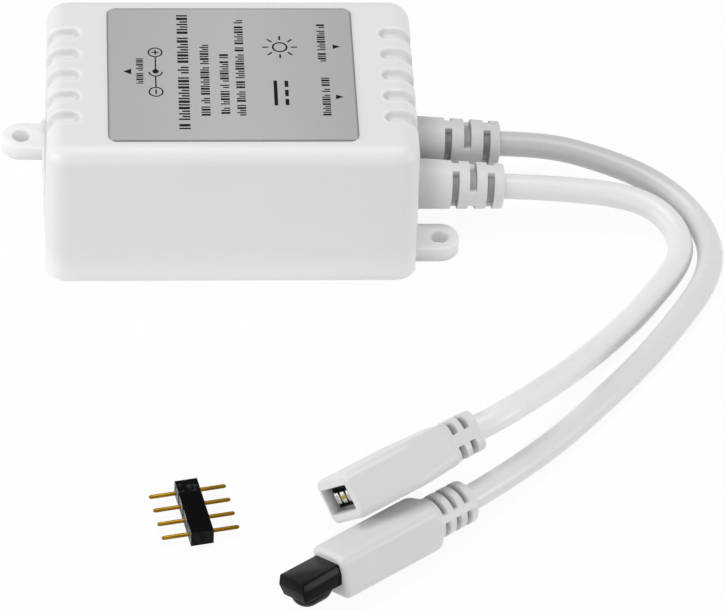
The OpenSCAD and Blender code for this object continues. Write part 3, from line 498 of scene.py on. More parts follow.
def mend(mesh, weld=True):
    """Welds a mesh's doubled points, if asked, and turns its faces outward."""
    work = bmesh.new()
    work.from_mesh(mesh)
    if weld:
        bmesh.ops.remove_doubles(work, verts=work.verts, dist=0.0005 * MM)
        bmesh.ops.dissolve_degenerate(work, edges=work.edges, dist=0.0002 * MM)
    bmesh.ops.recalc_face_normals(work, faces=work.faces)
    work.to_mesh(mesh)
    work.free()
    return mesh


def placed(name, data):
    """A new object in the scene."""
    made = bpy.data.objects.new(name, data)
    bpy.context.scene.collection.objects.link(made)
    return made


def finish_piece(name, mesh, slot, finish, *nodes, sharp=30.0, body="base"):
    """Closes a mesh, shades it, and makes it ride, wear and stand for what it should."""
    mend(mesh)
    mesh.shade_smooth()
    mesh.set_sharp_from_angle(angle=radians(sharp))
    mesh.materials.clear()
    mesh.materials.append(MAT[finish])
    made = placed(name, mesh)
    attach(made, body)
    if nodes:
        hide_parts(*nodes)
    return made


def rect_ring(l, w, r, z, steps=5, flat=0):
    """A rounded rectangle round Z: points on its four arcs, and between them on its sides."""
    arcs = []
    for cx, cy, start in ((1, 1, 0), (-1, 1, 90), (-1, -1, 180), (1, -1, 270)):
        turn = arc(cx * (l / 2 - r), cy * (w / 2 - r), r, start, start + 90, steps)
        arcs.append([(*p, z) for p in turn])
    points = []
    for here, after in zip(arcs, arcs[1:] + arcs[:1]):
        points += here
        for k in range(1, flat + 1):
            t = k / (flat + 1)
            points.append(tuple(a + (b - a) * t for a, b in zip(here[-1], after[0])))
    return points


def across(l, w, r, x):
    """A rounded rectangle that stands across X: l along Y and w along Z."""
    return [(x, p[0], p[1]) for p in rect_ring(l, w, r, 0, 10, 15)]


def carve(target, tool, operation="DIFFERENCE"):
    """Cuts a shape out of a shape or a mesh, or joins it, and gives the new mesh."""
    if isinstance(target, Shape):
        target = mend(target.mesh("target"), weld=False)
    whole, knife = placed("target", target), placed("tool", mend(tool.mesh("tool"), weld=False))
    cut = whole.modifiers.new("cut", "BOOLEAN")
    cut.operation, cut.solver, cut.object = operation, "EXACT", knife
    bpy.context.view_layer.update()
    graph = bpy.context.evaluated_depsgraph_get()
    result = bpy.data.meshes.new_from_object(whole.evaluated_get(graph))
    for made in (whole, knife):
        bpy.data.objects.remove(made)
    return result


# Camera at the photograph's viewing angle

def photo_camera():
    data = bpy.data.cameras.new("photo_camera")
    data.sensor_width = 36.0
    data.lens = 243.57
    data.clip_start, data.clip_end = 0.01, 20.0
    camera = placed("photo_camera", data)
    right = Vector((0.998156, -0.047031, 0.038366))
    up = Vector((0.003507, 0.675748, 0.737124))
    back = right.cross(up)
    facing = Matrix((right, up, back)).transposed().to_4x4()
    camera.matrix_world = Matrix.Translation(Vector((-22.656, -510.392, 447.839)) * MM) @ facing
    bpy.context.scene.camera = camera


photo_camera()


# Cables

STRIP_ROUTE = [
    (37.5, -4.5, 5.96), (41.5, -4.5, 5.75), (45, -4.5, 5.5), (49, -4.6, 5.1), (52.5, -4.7, 4.7),
    (56.5, -5.4, 4.1), (59.4, -7, 3.4), (61.4, -10.1, 2.8), (61.9, -14.2, 2.4), (59.9, -18.3, 2),
    (57.4, -21.8, 1.75), (54.4, -26.3, 1.75), (50.7, -30.8, 1.8), (47.4, -35, 2.5),
    (43.9, -40.3, 4.4), (40.4, -45.8, 6.9), (37, -50.8, 9.2)]
IR_ROUTE = [
    (37.5, 4.5, 5.96), (42, 4.5, 5.75), (46.5, 4, 5.5), (51, 2.4, 5.1), (55.5, 0.7, 4.5),
    (60, -1.9, 3.6), (63.4, -5.6, 2.8), (65.4, -10.2, 2.4), (65.9, -14.8, 2), (64.4, -19.8, 1.75),
    (61.9, -24.3, 1.75), (58.4, -29.8, 1.75), (53.9, -36.3, 1.75), (48.9, -42.3, 1.75),
    (43.4, -48.8, 1.75), (38.4, -54.3, 2.25)]
ROUTE_LEAD, IN_NECK = 3.5, 1.2


def curve(points, steps):
    """The smooth curve that a row of control points pulls, from end to end."""
    held = [points[0]] * 2 + list(points) + [points[-1]] * 2
    held = [Vector(p) for p in held]
    made = []
    for a, b, c, d in zip(held, held[1:], held[2:], held[3:]):
        for k in range(steps):
            t = k / steps
            made.append(((1 - t) ** 3 * a + (3 * t ** 3 - 6 * t * t + 4) * b
                         + (-3 * t ** 3 + 3 * t * t + 3 * t + 1) * c + t ** 3 * d) / 6)
    made.append(Vector(points[-1]))
    return made


def cable(name, route, lay, finish):
    """A round cable along its route, straight where it enters its plug."""
    points = curve(route + [lay.end + ROUTE_LEAD * lay.axis, lay.end], 7)
    inside = lay.end - IN_NECK * lay.axis
    points = [p for i, p in enumerate(points) if i == 0 or (p - points[i - 1]).length > 0.01]
    rings = []
    for i, p in enumerate(points):
        along = (points[min(i + 1, len(points) - 1)] - points[max(i - 1, 0)]).normalized()
        side = along.cross(Vector((0, 0, 1))).normalized()
        top = side.cross(along)
        rings.append([p + CABLE_D / 2 * (cos(a) * side + sin(a) * top) for a in circle(32)])
    rings.insert(0, [p - 0.15 * (points[1] - points[0]).normalized() for p in rings[0]])
    rings.append([p + inside - points[-1] for p in rings[-1]])
    made = Shape().loft(rings).piece(name + "_jacket", "cable_white", finish, name)
    length = sum((b - a).length for a, b in zip(points, points[1:]))
    return made, [p * MM for p in points], length * MM


strip_cable, strip_path, strip_length = cable("strip_cable", STRIP_ROUTE, SOCKET, "cable")
ir_cable, ir_path, ir_length = cable("ir_cable", IR_ROUTE, PLUG, "shaded_rear_jacket")


# Case shell: one skin of rings, from the cavity's roof down, round the rim, up and over the top

KEEP_Y = 10.2


def flute_at(y, run, last):
    """How deep the flutes cut at a place: run is the way from a flute's start at its inner end."""
    off = min(abs(y - c) for c in FLUTES)
    away = hypot(off, max(0.0, -run, run - last))
    if away >= FLUTE_R:
        return 0.0
    return FLUTE_DEPTH * (1 - (away / FLUTE_R) ** 2.8)


# Places along an end wall: close together where the flutes are
WIDE_Y = [KEEP_Y + 0.76 * i for i in range(1, 6)]
END_Y = [-y for y in reversed(WIDE_Y)] + [-KEEP_Y + 0.15 * i for i in range(137)] + WIDE_Y


def case_ring(inset, z, lean=0.0, run=None):
    """One ring of the case: inset from its plan, at a height, its skin leaning by an angle."""
    foot = DRAFT * min(max((CASE_H - TOP_R - z) / (CASE_H - TOP_R - FOOT_R), 0.0), 1.0)
    inset -= foot if inset < 1.0 else 0.0
    hx, hy = CASE_L / 2 - inset, CASE_W / 2 - inset
    r = min(max(CORNER_R - inset, 0.05), CORNER_R)
    cx, cy = hx - r, hy - r
    last = FLUTE_REACH - FLUTE_R - TOP_R + TOP_R * pi / 2 + FLUTE_DROP - TOP_R - FLUTE_R
    bend = [(r * cos(a), r * sin(a)) for a in (pi / 2 * k / 10 for k in range(1, 10))]
    points = []
    for side in (1, -1):
        for y in END_Y:
            flat = abs(y)
            if flat > KEEP_Y:
                flat = KEEP_Y + (flat - KEEP_Y) * (cy - KEEP_Y) / (CASE_W / 2 - CORNER_R - KEEP_Y)
            y = side * copysign(flat, y)
            ends = last - JACK_FLUTE_CUT if side < 0 and abs(y) < JACK_FLUTES_Y else last
            depth = 0.0 if run is None else flute_at(y, run, ends)
            points.append((side * (hx - depth * cos(lean)), y, z - depth * sin(lean)))
        points += [(side * (cx + a), side * (cy + b), z) for a, b in bend]
        points += [(side * (cx - 2 * cx * k / 16), side * hy, z) for k in range(17)]
        points += [(-side * (cx + b), side * (cy + a), z) for a, b in bend]
    return points


def case_skin():
    rings = [case_ring(WALL, INNER_TOP), case_ring(WALL, 0.0)]
    rings += [case_ring(inset, z) for inset, z in quarter(FOOT_R, 6)]
    wall_top = CASE_H - TOP_R
    rings += [case_ring(0.0, z) for z in (4.0, 8.0, 11.0, 13.0, 13.8)]
    start = FLUTE_REACH - FLUTE_R
    corner_run = start - TOP_R + TOP_R * pi / 2
    fluted, steps = 14.0, 36
    for k in range(steps):
        z = fluted + (wall_top - fluted) * k / steps
        rings.append(case_ring(0.0, z, 0.0, corner_run + wall_top - z))
    for k in range(15):
        a = pi / 2 * k / 14
        rings.append(case_ring(TOP_R * (1 - cos(a)), wall_top + TOP_R * sin(a), a,
                               start - TOP_R + TOP_R * (pi / 2 - a)))
    rings += [case_ring(TOP_R + 0.15 * k, CASE_H, pi / 2, start - TOP_R - 0.15 * k)
              for k in range(1, 25)]
    return Shape().loft(rings)


def plate_gaps():
    """What both end walls leave open for the base plate's ends."""
    near, far, side_y, tool = INNER_L / 2 - 0.5, CASE_L / 2 + 1, INNER_W / 2 - 0.01, Shape()
    for x0, x1 in ((near, far), (-far, -near)):
        tool.box((x0, -side_y, -1), (x1, side_y, BASE_T + PLATE_PLAY))
    return tool


def jack_window():
    return Shape().box((-CASE_L / 2 - 1, -JACK_Y, -1), (-INNER_L / 2 + 1, JACK_Y, JACK_TOP))


def neck_notch(y):
    profile = arc(y, CABLE_Z, NOTCH_R, 0, 180, 24) + [(y - NOTCH_R, -1.0), (y + NOTCH_R, -1.0)]
    return Shape().loft([[(x, *p) for p in profile] for x in (INNER_L / 2 - 1, CASE_L / 2 + 1)])


def build_case():
    mesh = case_skin()
    for tool in (plate_gaps(), jack_window(), neck_notch(-CABLE_Y), neck_notch(CABLE_Y)):
        mesh = carve(mesh, tool)
    posts = Shape()
    bore, r, foot = PEG_D / 2 + PEG_PLAY, POST_D / 2, BASE_T + PLATE_PLAY
    for x, y in corners(POST_X, POST_Y):
        posts.lathe([(0.02, 8.5), (bore, 8.5), (bore, foot + 0.25), (bore + 0.2, foot),
                     (r - 0.15, foot), (r, foot + 0.15), (r, INNER_TOP + 0.8),
                     (0.02, INNER_TOP + 0.8)], 36, at(x, y, 0))
    mesh = carve(mesh, posts, "UNION")
    finish_piece("case_shell_skin", mesh, "white_plastic", "case", "case_shell", sharp=34.0,
                 body="cover")


# Flat pieces with eased edges, from closed outlines

def drawn_in(loop, depth, z):
    """An outline, counterclockwise, drawn in by a depth and set at a height."""
    made = []
    for a, b, c in zip(loop[-1:] + loop[:-1], loop, loop[1:] + loop[:1]):
        first, last = Vector(b) - Vector(a), Vector(c) - Vector(b)
        first, last = first.normalized(), last.normalized()
        side = Vector((first.y + last.y, -first.x - last.x)) / (1 + first.dot(last))
        made.append((b[0] - side.x * depth, b[1] - side.y * depth, z))
    return made


def slab(shape, loop, low, thick, edge):
    """A flat solid on an outline, its edges eased above and below."""
    return shape.loft([drawn_in(loop, t, z) for t, z in eased(low, low + thick, edge)])


def base_outline():
    """The plate with its two ears. Its left end edge stands out most behind its ear."""
    right, slope = 25.0 + LIP_LOW, (LIP_OUT - LIP_LOW) / 28
    front, back = -EAR_Y - EAR_R, -EAR_Y + EAR_R

    def left(y):
        return -25.0 - LIP_LOW - slope * (y + 14.0)

    return ([(-24.0, -15.0), (24.0, -15.0), (right, -14.0), (right, front)]
            + arc(EAR_X, -EAR_Y, EAR_R, -90, 90, 20)
            + [(right, back), (right, 14.0), (24.0, 15.0), (-24.0, 15.0), (left(14.0), 14.0),
               (left(-front), -front)]
            + arc(-EAR_X, EAR_Y, EAR_R, 90, 270, 20)
            + [(left(-back), -back), (left(-14.0), -14.0)])


def build_base():
    mesh, r = slab(Shape(), base_outline(), 0.0, BASE_T, 0.2), EAR_HOLE_R
    for side in (1, -1):
        mesh = carve(mesh, Shape().lathe(
            [(0.02, -0.5), (r + 0.22, -0.5), (r + 0.22, 0.0), (r + 0.08, 0.06), (r, 0.2),
             (r, BASE_T - 0.25), (r + 0.08, BASE_T - 0.08), (r + 0.25, BASE_T),
             (r + 0.25, BASE_T + 0.5), (0.02, BASE_T + 0.5)],
            40, at(side * EAR_X, -side * EAR_Y, 0)))
    stands = Shape()
    for x, y in corners(POST_X, POST_Y):
        stands.lathe([(0.02, 1.0), (PEG_D / 2, 1.0), (PEG_D / 2, 7.5), (PEG_D / 2 - 0.3, 8.1),
                      (0.02, 8.1)], 28, at(x, y, 0))
    for x, y in corners(STAKE_X, STAKE_Y):
        stands.lathe([(0.02, 1.0), (1.8, 1.0), (1.8, BOARD_Z), (0.9, BOARD_Z),
                      (0.9, BOARD_TOP), (1.5, BOARD_TOP), (1.45, BOARD_TOP + 0.25),
                      (1.2, BOARD_TOP + 0.48), (0.7, BOARD_TOP + 0.6),
                      (0.02, BOARD_TOP + 0.6)], 28, at(x, y, 0))
    stands.box((-CASE_L / 2, -4.5, 1.0), (-INNER_L / 2, 4.5, BOARD_TOP))
    half = SADDLE_W / 2
    saddle = [(min(max(side, -half), half), z)
              for side, z in arc(0, CABLE_Z, half + 0.05, 0, -180, 24)]
    for y in (-CABLE_Y, CABLE_Y):
        stands.loft([[(x, y + side, z) for side, z in [(half, 1.0)] + saddle + [(-half, 1.0)]]
                     for x in (INNER_L / 2, CASE_L / 2)])
    stands.add([v.co / MM for v in mesh.vertices], [tuple(p.vertices) for p in mesh.polygons])
    stands.piece("base_plate_skin", "white_plastic", "plate", "base_plate", sharp=34.0)


build_case()
build_base()


# Label and its marks

def build_label():
    loop = [p[:2] for p in rect_ring(LABEL_L, LABEL_W, LABEL_R, 0, 10)]
    slab(Shape(), loop, CASE_H, LABEL_T, 0.04).piece(
        "label_sheet", "label_grey", "label", "label_plate", body="cover")


INK_LOW, INK_T = CASE_H + LABEL_T - 0.02, 0.028


class Ink(Shape):
    """Thin printed marks on the label."""

    def patch(self, points):
        return self.loft([[(x, y, INK_LOW) for x, y in points],
                          [(x, y, INK_LOW + INK_T) for x, y in points]])

    def bar(self, x, y, l, w, turn=0.0):
        c, s = cos(radians(turn)) / 2, sin(radians(turn)) / 2
        return self.patch([(x + c * a - s * b, y + s * a + c * b)
                           for a, b in ((-l, -w), (l, -w), (l, w), (-l, w))])

    def ring(self, x, y, r, line, start=0.0, end=360.0, steps=40):
        inner, outer = (arc(x, y, r + side * line / 2, start, end, steps) for side in (-1, 1))
        rings = [[(*p, INK_LOW), (*q, INK_LOW), (*q, INK_LOW + INK_T), (*p, INK_LOW + INK_T)]
                 for p, q in zip(inner, outer)]
        return self.loft(rings, (end - start < 360, end - start < 360))

    def words(self, x, y_top, y_low, height, seed):
        """A row of plain ticks in groups, down the label from y_top to y_low."""
        y, count = y_top, 0
        while y > y_low + 0.2 * height:
            kind = (seed * 3 + count * 5) % 7
            thick = height * (0.34 if kind in (1, 4) else 0.2)
            short = 0.3 * height if kind in (2, 5) else 0.0
            self.bar(x + short / 2, y - thick / 2, height - short, thick)
            count += 1
            in_word = (count + seed) % (6 + (seed + count // 6) % 4)
            y -= thick + height * (0.17 if in_word else 0.55)


def power_sign(ink, x, plus, middle, minus):
    """The common sign for a power socket's poles, down the label from plus to minus."""
    for y in (plus, minus):
        ink.ring(x, y, 0.92, 0.2).bar(x, y, 0.2, 1.0)
    ink.bar(x, plus, 1.0, 0.2)
    ink.ring(x, middle, 0.22, 0.44, steps=20)
    ink.ring(x, middle - 0.1, 0.88, 0.2, 180, 360, 24)
    ink.bar(x, 2.1, 0.18, 2.9).bar(x, -1.75, 0.18, 2.3)


def sun_sign(ink, x, y):
    ink.ring(x, y, 0.95, 0.24)
    for k in range(8):
        a = radians(45.0 * k)
        ink.bar(x + 1.95 * cos(a), y + 1.95 * sin(a), 0.85, 0.24, 45.0 * k)


def direct_current_sign(ink, x, y):
    ink.bar(x - 1.5, y, 0.5, 5.2)
    for dash in (-1.9, 0, 1.9):
        ink.bar(x, y + dash, 0.5, 1.3)


def build_ink():
    ink = Ink()
    ink.patch([(-14.6, 0.45), (-13.55, -0.15), (-13.55, 1.05)])
    power_sign(ink, -10.25, 4.5, 0.45, -3.85)
    sun_sign(ink, 6.75, 5.6)
    direct_current_sign(ink, 7.4, -4.1)
    for y in (5.7, -4.95):
        ink.patch([(15.05, y), (14.0, y + 0.48), (14.0, y - 0.48)])
    for row in ((-12.4, 3.2, -2.4, 0.95, 1), (-6.5, 12.5, -11.7, 1.5, 2),
                (-3.6, 6.1, -9.0, 1.2, 3), (-0.95, 4.1, -8.9, 1.2, 5), (1.2, 11.4, -8.9, 1.2, 4),
                (12.45, 10.5, 2.5, 1.1, 6), (12.7, -0.9, -8.9, 1.1, 8)):
        ink.words(*row)
    ink.piece("label_marks", "black_plastic", "ink", body="cover")


build_label()
build_ink()


# Strain reliefs

RELIEF_TIP_R = 3.1
SLOT_W, CORE_R, LAST_SLOT = 0.95, 1.95, 1.875


def step(x, edge, soft=0.06):
    t = min(max((x - edge) / soft + 0.5, 0.0), 1.0)
    return t * t * (3 - 2 * t)


def relief_radius(x, angle, pitch):
    """Radius of a relief's taper: its slots are cut to the core between their ribs."""
    outer = RELIEF_R + (RELIEF_TIP_R - RELIEF_R) * x / RELIEF_L
    radius = outer
    for i in range(3):
        middle = RELIEF_L - LAST_SLOT - i * pitch
        inside = step(x, middle - SLOT_W / 2) * (1 - step(x, middle + SLOT_W / 2))
        if inside > 0:
            off = abs(cos(angle) if i % 2 == 0 else sin(angle)) * outer
            opened = step(off, 0.98 if i % 2 == 0 else 1.35, 0.3)
            floor = CORE_R + 0.25 * (1 - step(off, 2.2, 2.4))
            radius = outer + inside * opened * (floor - outer)
    return radius


def filled(places, x, end, stride, gap):
    """Adds places a stride apart from x to end, but none within a gap of another."""
    while x < end:
        if min(abs(x - p) for p in places) > gap:
            places.add(x)
        x += stride
    return sorted(places)


def relief_places(pitch):
    """Places along a relief: close together at the edges of its slots."""
    places = {0.12, 0.3, RELIEF_L - 0.4}
    for i in range(3):
        middle = RELIEF_L - LAST_SLOT - i * pitch
        for edge in (middle - SLOT_W / 2, middle + SLOT_W / 2):
            places.update(edge + d for d in (-0.03, -0.01, 0.01, 0.03))
        places.update((middle - 0.2, middle, middle + 0.2))
    return filled(places, 0.8, RELIEF_L - 0.6, 0.6, 0.2)


def strain_relief(name, y, pitch):
    """A relief: a grooved ring that the case's notch grips, and a slotted taper outside it."""
    def ring(x, radius):
        return [(x, radius(a) * cos(a), radius(a) * sin(a)) for a in circle(144)]

    def plain(pairs):
        return [ring(x, lambda a, r=r: r) for x, r in pairs]

    inner = plain(((21.25, 1.9), (21.25, 3.4), (21.4, 3.58), (22.9, 3.58), (23.05, 3.45),
                   (23.05, 2.7), (25.9, 2.7)))
    taper = plain(((0, 2.0), (0, 3.35)))
    taper += [ring(x, lambda a, x=x: relief_radius(x, a, pitch)) for x in relief_places(pitch)]
    taper += plain(((RELIEF_L - 0.2, 3.09), (RELIEF_L - 0.06, 3.02), (RELIEF_L, 2.85),
                    (RELIEF_L, 1.95), (RELIEF_L - 0.15, 1.8)))
    leaning = at(RELIEF_AT, y, CABLE_Z) @ Matrix.Rotation(DROOP, 4, "Y")
    shape = Shape().loft(inner, turn=at(0, y, CABLE_Z)).loft(taper, turn=leaning)
    shape.piece(name + "_skin", "soft_white", "relief", name, sharp=34.0)


strain_relief("strip_strain_relief", -CABLE_Y, 2.43)
strain_relief("ir_strain_relief", CABLE_Y, 2.68)


# Plugs

def blend_rings(first, second, share):
    return [tuple(a + (b - a) * share for a, b in zip(p, q)) for p, q in zip(first, second)]


STEEP, GENTLE = 0.12, 0.4


def slotted(points, x, cuts, bars, depth):
    """Draws a neck's ring in where a slot crosses it, but not at its bars.

    Each bar is its turn and half its width. depth gives a slot's depth at a radius.
    """
    made, inside = [], max(step(x, low, STEEP) * (1 - step(x, high, GENTLE)) for low, high in cuts)
    for (_, y, z) in points:
        radius, angle = hypot(y, z), atan2(z, y)
        rib = 0.0
        for turn, half in bars:
            if cos(angle - radians(turn)) > 0:
                off = abs(sin(angle - radians(turn))) * radius
                rib = max(rib, 1 - step(off, half, 0.3))
        keep = 1 - depth(radius) / radius * inside * (1 - rib)
        made.append((x, y * keep, z * keep))
    return made


def neck_places(start, end, cuts):
    """Places along a neck: close together at the edges of its slots."""
    places = {start + 0.25, end - 0.3}
    for low, high in cuts:
        for edge, soft in ((low, STEEP), (high, GENTLE)):
            places.update(edge + soft * d for d in (-0.5, -0.3, -0.1, 0.1, 0.3, 0.5))
    return filled(places, start + 0.5, end - 0.4, 0.3, 0.15)


def rounded_front(w, t, front, steps):
    """Rings from a plug's front face, round its edge, to its sides."""
    return [across(w - 2 * d, t - 2 * d, PLUG_R - d / 2, x) for d, x in quarter(front, steps)]


def shrinking(ring, end, steps):
    """The last rings of a neck: each its way before the end and its share of the neck's size."""
    return [[(end - before, p[1] * share, p[2] * share) for p in ring] for before, share in steps]


def build_socket():
    """The strip socket's housing: a mouth in front, a waist, and a slotted neck behind."""
    mouth_w, mouth_t, recess = 10.5, 3.4, 1.9
    rings = [across(10.22, 2.6, 0.1, x) for x in (recess + 8.5, recess)]
    rings += [across(mouth_w, mouth_t, 0.25, x) for x in (recess, 0.18)]
    rings.append(across(mouth_w + 0.2, mouth_t + 0.2, 0.35, 0.0))
    rings += rounded_front(SOCK_W, SOCK_T, 0.6, 5)
    rings += [across(SOCK_W, SOCK_T, PLUG_R, x) for x in (3.0, 6.0, 9.0)]
    waist, wide = across(5.8, 5.5, 1.9, 0.0), across(SOCK_W, SOCK_T, PLUG_R, 0.0)
    first, last, end = 9.5, 19.8, 20.6
    cuts = [(16.45 + 1.9 * i, 17.2 + 1.9 * i) for i in range(2)]
    for x in [first + 0.8 * k for k in range(8)] + [15.5] + neck_places(15.4, end, cuts):
        ring = blend_rings(wide, waist, min((x - first) / (last - first), 1.0))
        lower = 1 - 0.045 * step(x, 15.75, 0.35) * (1 - step(x, 18.0, 4.0))
        rings.append(slotted([(x, p[1] * lower, p[2] * lower) for p in ring], x, cuts,
                             [(t, 1.0) for t in (0, 90, 180, 270)], lambda r: r - CORE_R))
    rings += shrinking(waist, end, ((0.08, 0.97), (0.0, 0.9), (0.0, 0.5)))
    Shape(SOCKET.turn).loft(rings).piece(
        "strip_socket_skin", "white_plastic", "plug", "strip_socket_housing", sharp=36.0)


def build_plug():
    """The receiver plug's housing: closed round the receiver, with a ribbed neck."""
    rings = rounded_front(PLUG_W, PLUG_T, 0.7, 6)
    rings += [across(PLUG_W, PLUG_T, PLUG_R, x) for x in (4.0, 8.0, 12.0)]
    body, neck_r = across(PLUG_W, PLUG_T, PLUG_R, 0.0), 2.9
    neck = [(0.0, neck_r * cos(a), neck_r * sin(a))
            for a in (atan2(p[2], p[1]) for p in body)]
    shoulder, end = 1.5, PLUG_L + PLUG_NECK
    for k in range(9):
        a = pi / 2 * k / 8
        ring = blend_rings(body, neck, 1 - cos(a))
        rings.append([(PLUG_L - shoulder * (1 - sin(a)), p[1], p[2]) for p in ring])
    cuts = [(PLUG_L + 0.55 + 1.85 * i, PLUG_L + 1.2 + 1.85 * i) for i in range(3)]
    for x in neck_places(PLUG_L, end, cuts):
        rings.append(slotted(neck, x, cuts, [(-14.5, 0.66), (165.5, 0.66)], lambda r: 1.0))
    rings += shrinking(neck, end, ((0.2, 0.985), (0.07, 0.93), (0.0, 0.85), (0.0, 0.5)))
    Shape(PLUG.turn).loft(rings).piece(
        "ir_plug_skin", "white_plastic", "plug", "ir_plug_housing", sharp=36.0)


def stadium(x0, x1, r, z):
    """A long round outline at a height, from x0 to x1 between its round ends' middles."""
    return [(*p, z) for p in arc(x1, 0, r, -90, 90, 14) + arc(x0, 0, r, 90, 270, 14)]


def build_receiver():
    """The receiver: a block that tapers both ways from its parting line, and a round eye below."""
    middle, length, width = -2.85, 6.9, 5.0
    levels = [(0.34, -0.9), (0.27, -0.82), (0.24, -0.7), (0.0, 0.62), (0.0, 0.72), (0.2, 1.86),
              (0.25, 1.96), (0.34, 2.0)]
    shape = Shape(PLUG.turn).loft([rect_ring(length - 2 * t, width - 2 * t, 0.22, z)
                                   for t, z in levels], turn=at(middle, 0, 0))
    x0, x1, eye_r = -3.95, -2.35, 2.1
    first = asin(0.3 / eye_r)
    rings = [stadium(x0, x1, eye_r - 0.02, -0.5)]
    for k in range(10):
        a = first + (pi / 2 - first) * k / 10
        rings.append(stadium(x0, x1, eye_r * cos(a), -0.58 - eye_r * sin(a)))
    rings.append(stadium(x0, x1, 0.05, -0.58 - eye_r))
    shape.loft(rings).piece("ir_receiver_body", "dark_lens", "lens", "ir_receiver", sharp=32.0)


INSERT_FRONT = 1.4


def build_insert():
    """The black block in the socket's mouth, with a funnel and a square hole for each pin."""
    back, deep, half = 10.35, 10.05, PITCH / 2
    rows = [(i - 2) * PITCH for i in range(5)]
    shape = Shape(SOCKET.turn)

    def square(x, y, w):
        return [(x, y - w, -w), (x, y + w, -w), (x, y + w, w), (x, y - w, w)]

    for y in (row + half for row in rows[:4]):
        shape.loft([square(INSERT_FRONT, y, half), square(INSERT_FRONT, y, 1.12),
                    square(INSERT_FRONT + 0.25, y, 0.98), square(deep, y, 0.98)], (False, True))
    shape.loft([[(x, y, -half) for y in rows] + [(x, y, half) for y in reversed(rows)]
                for x in (INSERT_FRONT, back)], (False, True))
    shape.piece("strip_socket_block", "black_plastic", "black", "strip_socket_insert", sharp=20.0)


def build_contacts():
    """Four contacts: each a pair of rolled lips close together, over two blades."""
    shape = Shape(SOCKET.turn)
    front, lip_r, off = INSERT_FRONT - 0.42, 0.36, 0.4
    lip = [(lip_r * (0.35 + 0.65 * u), 0.82 * v) for u, v in arc(0, 0, 1, -90, 90, 10)]
    lip = [(0.02, -0.85)] + lip + [(0.02, 0.85)]
    for i in range(4):
        y = (i - 1.5) * PITCH
        for side in (-1, 1):
            middle = y + side * off
            shape.lathe(lip, 24, at(front + lip_r, middle, 0))
            shape.box((front + lip_r, middle - 0.14, -0.7), (front + 6.8, middle + 0.14, 0.7))
        shape.box((front + 6.5, y - 0.6, -0.6), (front + 6.8, y + 0.6, 0.6))
    shape.piece("strip_socket_lips", "gold_plate", "lips", "strip_socket_contacts", sharp=40.0)


build_socket()
build_plug()
build_receiver()
build_insert()
build_contacts()


# Loose header

def build_header():
    wide, long, notch = HEADER_W / 2, HEADER_L / 2, 0.25
    outline = [(wide, -long)]
    for i in (-1, 0, 1):
        outline += [(wide, i * PITCH - notch), (wide - notch, i * PITCH),
                    (wide, i * PITCH + notch)]
    outline.append((wide, long))
    outline += [(-x, -y) for x, y in outline]
    slab(Shape(HEADER), outline, -HEADER_T / 2, HEADER_T, 0.06).piece(
        "header_block", "black_plastic", "header", "pin_header_body", sharp=24.0, body="header")
    pins, half = Shape(HEADER), [(0.275, 4.8), (0.2, 5.03), (0.13, 5.1), (0.02, 5.1)]
    for i in range(4):
        pins.lathe([(r, -z) for r, z in reversed(half)] + half, 20,
                   along_x(0, (i - 1.5) * PITCH, 0))
    pins.piece("header_pins", "gold_plate", "gold", "pin_header_pins", body="header")


build_header()


# Parts on the board

def node_box(name):
    low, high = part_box(name)
    return tuple(low / MM), tuple(high / MM)


def islands(name):
    """The boxes of a node's separate solids."""
    work = bmesh.new()
    work.from_mesh(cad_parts[name].data)
    bmesh.ops.remove_doubles(work, verts=work.verts, dist=0.001 * MM)
    left, boxes = set(work.verts), []
    while left:
        stack, found = [left.pop()], []
        while stack:
            v = stack.pop()
            found.append(v.co / MM)
            joined = {e.other_vert(v) for e in v.link_edges} & left
            left -= joined
            stack += joined
        boxes.append([tuple(end(p[i] for p in found) for i in range(3)) for end in (min, max)])
    work.free()
    return sorted(boxes)


def chip(name, node):
    """A moulded chip body with a parting line and a dimple at its first lead."""
    (x0, y0, z0), (x1, y1, z1) = node_box(node)
    middle = (z0 + z1) / 2
    levels = [(0.12, z0), (0.0, middle - 0.02), (0.0, middle + 0.02), (0.1, z1 - 0.03), (0.13, z1)]
    body = Shape().loft([rect_ring(x1 - x0 - 2 * t, y1 - y0 - 2 * t, 0.1, z) for t, z in levels],
                        turn=at((x0 + x1) / 2, (y0 + y1) / 2, 0))
    mesh = carve(body, Shape().lathe([(0.02, z1 - 0.06), (0.28, z1 - 0.06), (0.32, z1 + 0.2),
                                      (0.02, z1 + 0.2)], 24, at(x0 + 0.8, y0 + 0.8, 0)))
    finish_piece(name, mesh, "chip_black", "chip", node)


def build_transistors():
    bodies = Shape()
    for low, high in islands("mosfets"):
        bodies.soft_box(low, high, 0.25, 0.18)
    bodies.piece("transistor_bodies", "chip_black", "chip", "mosfets")


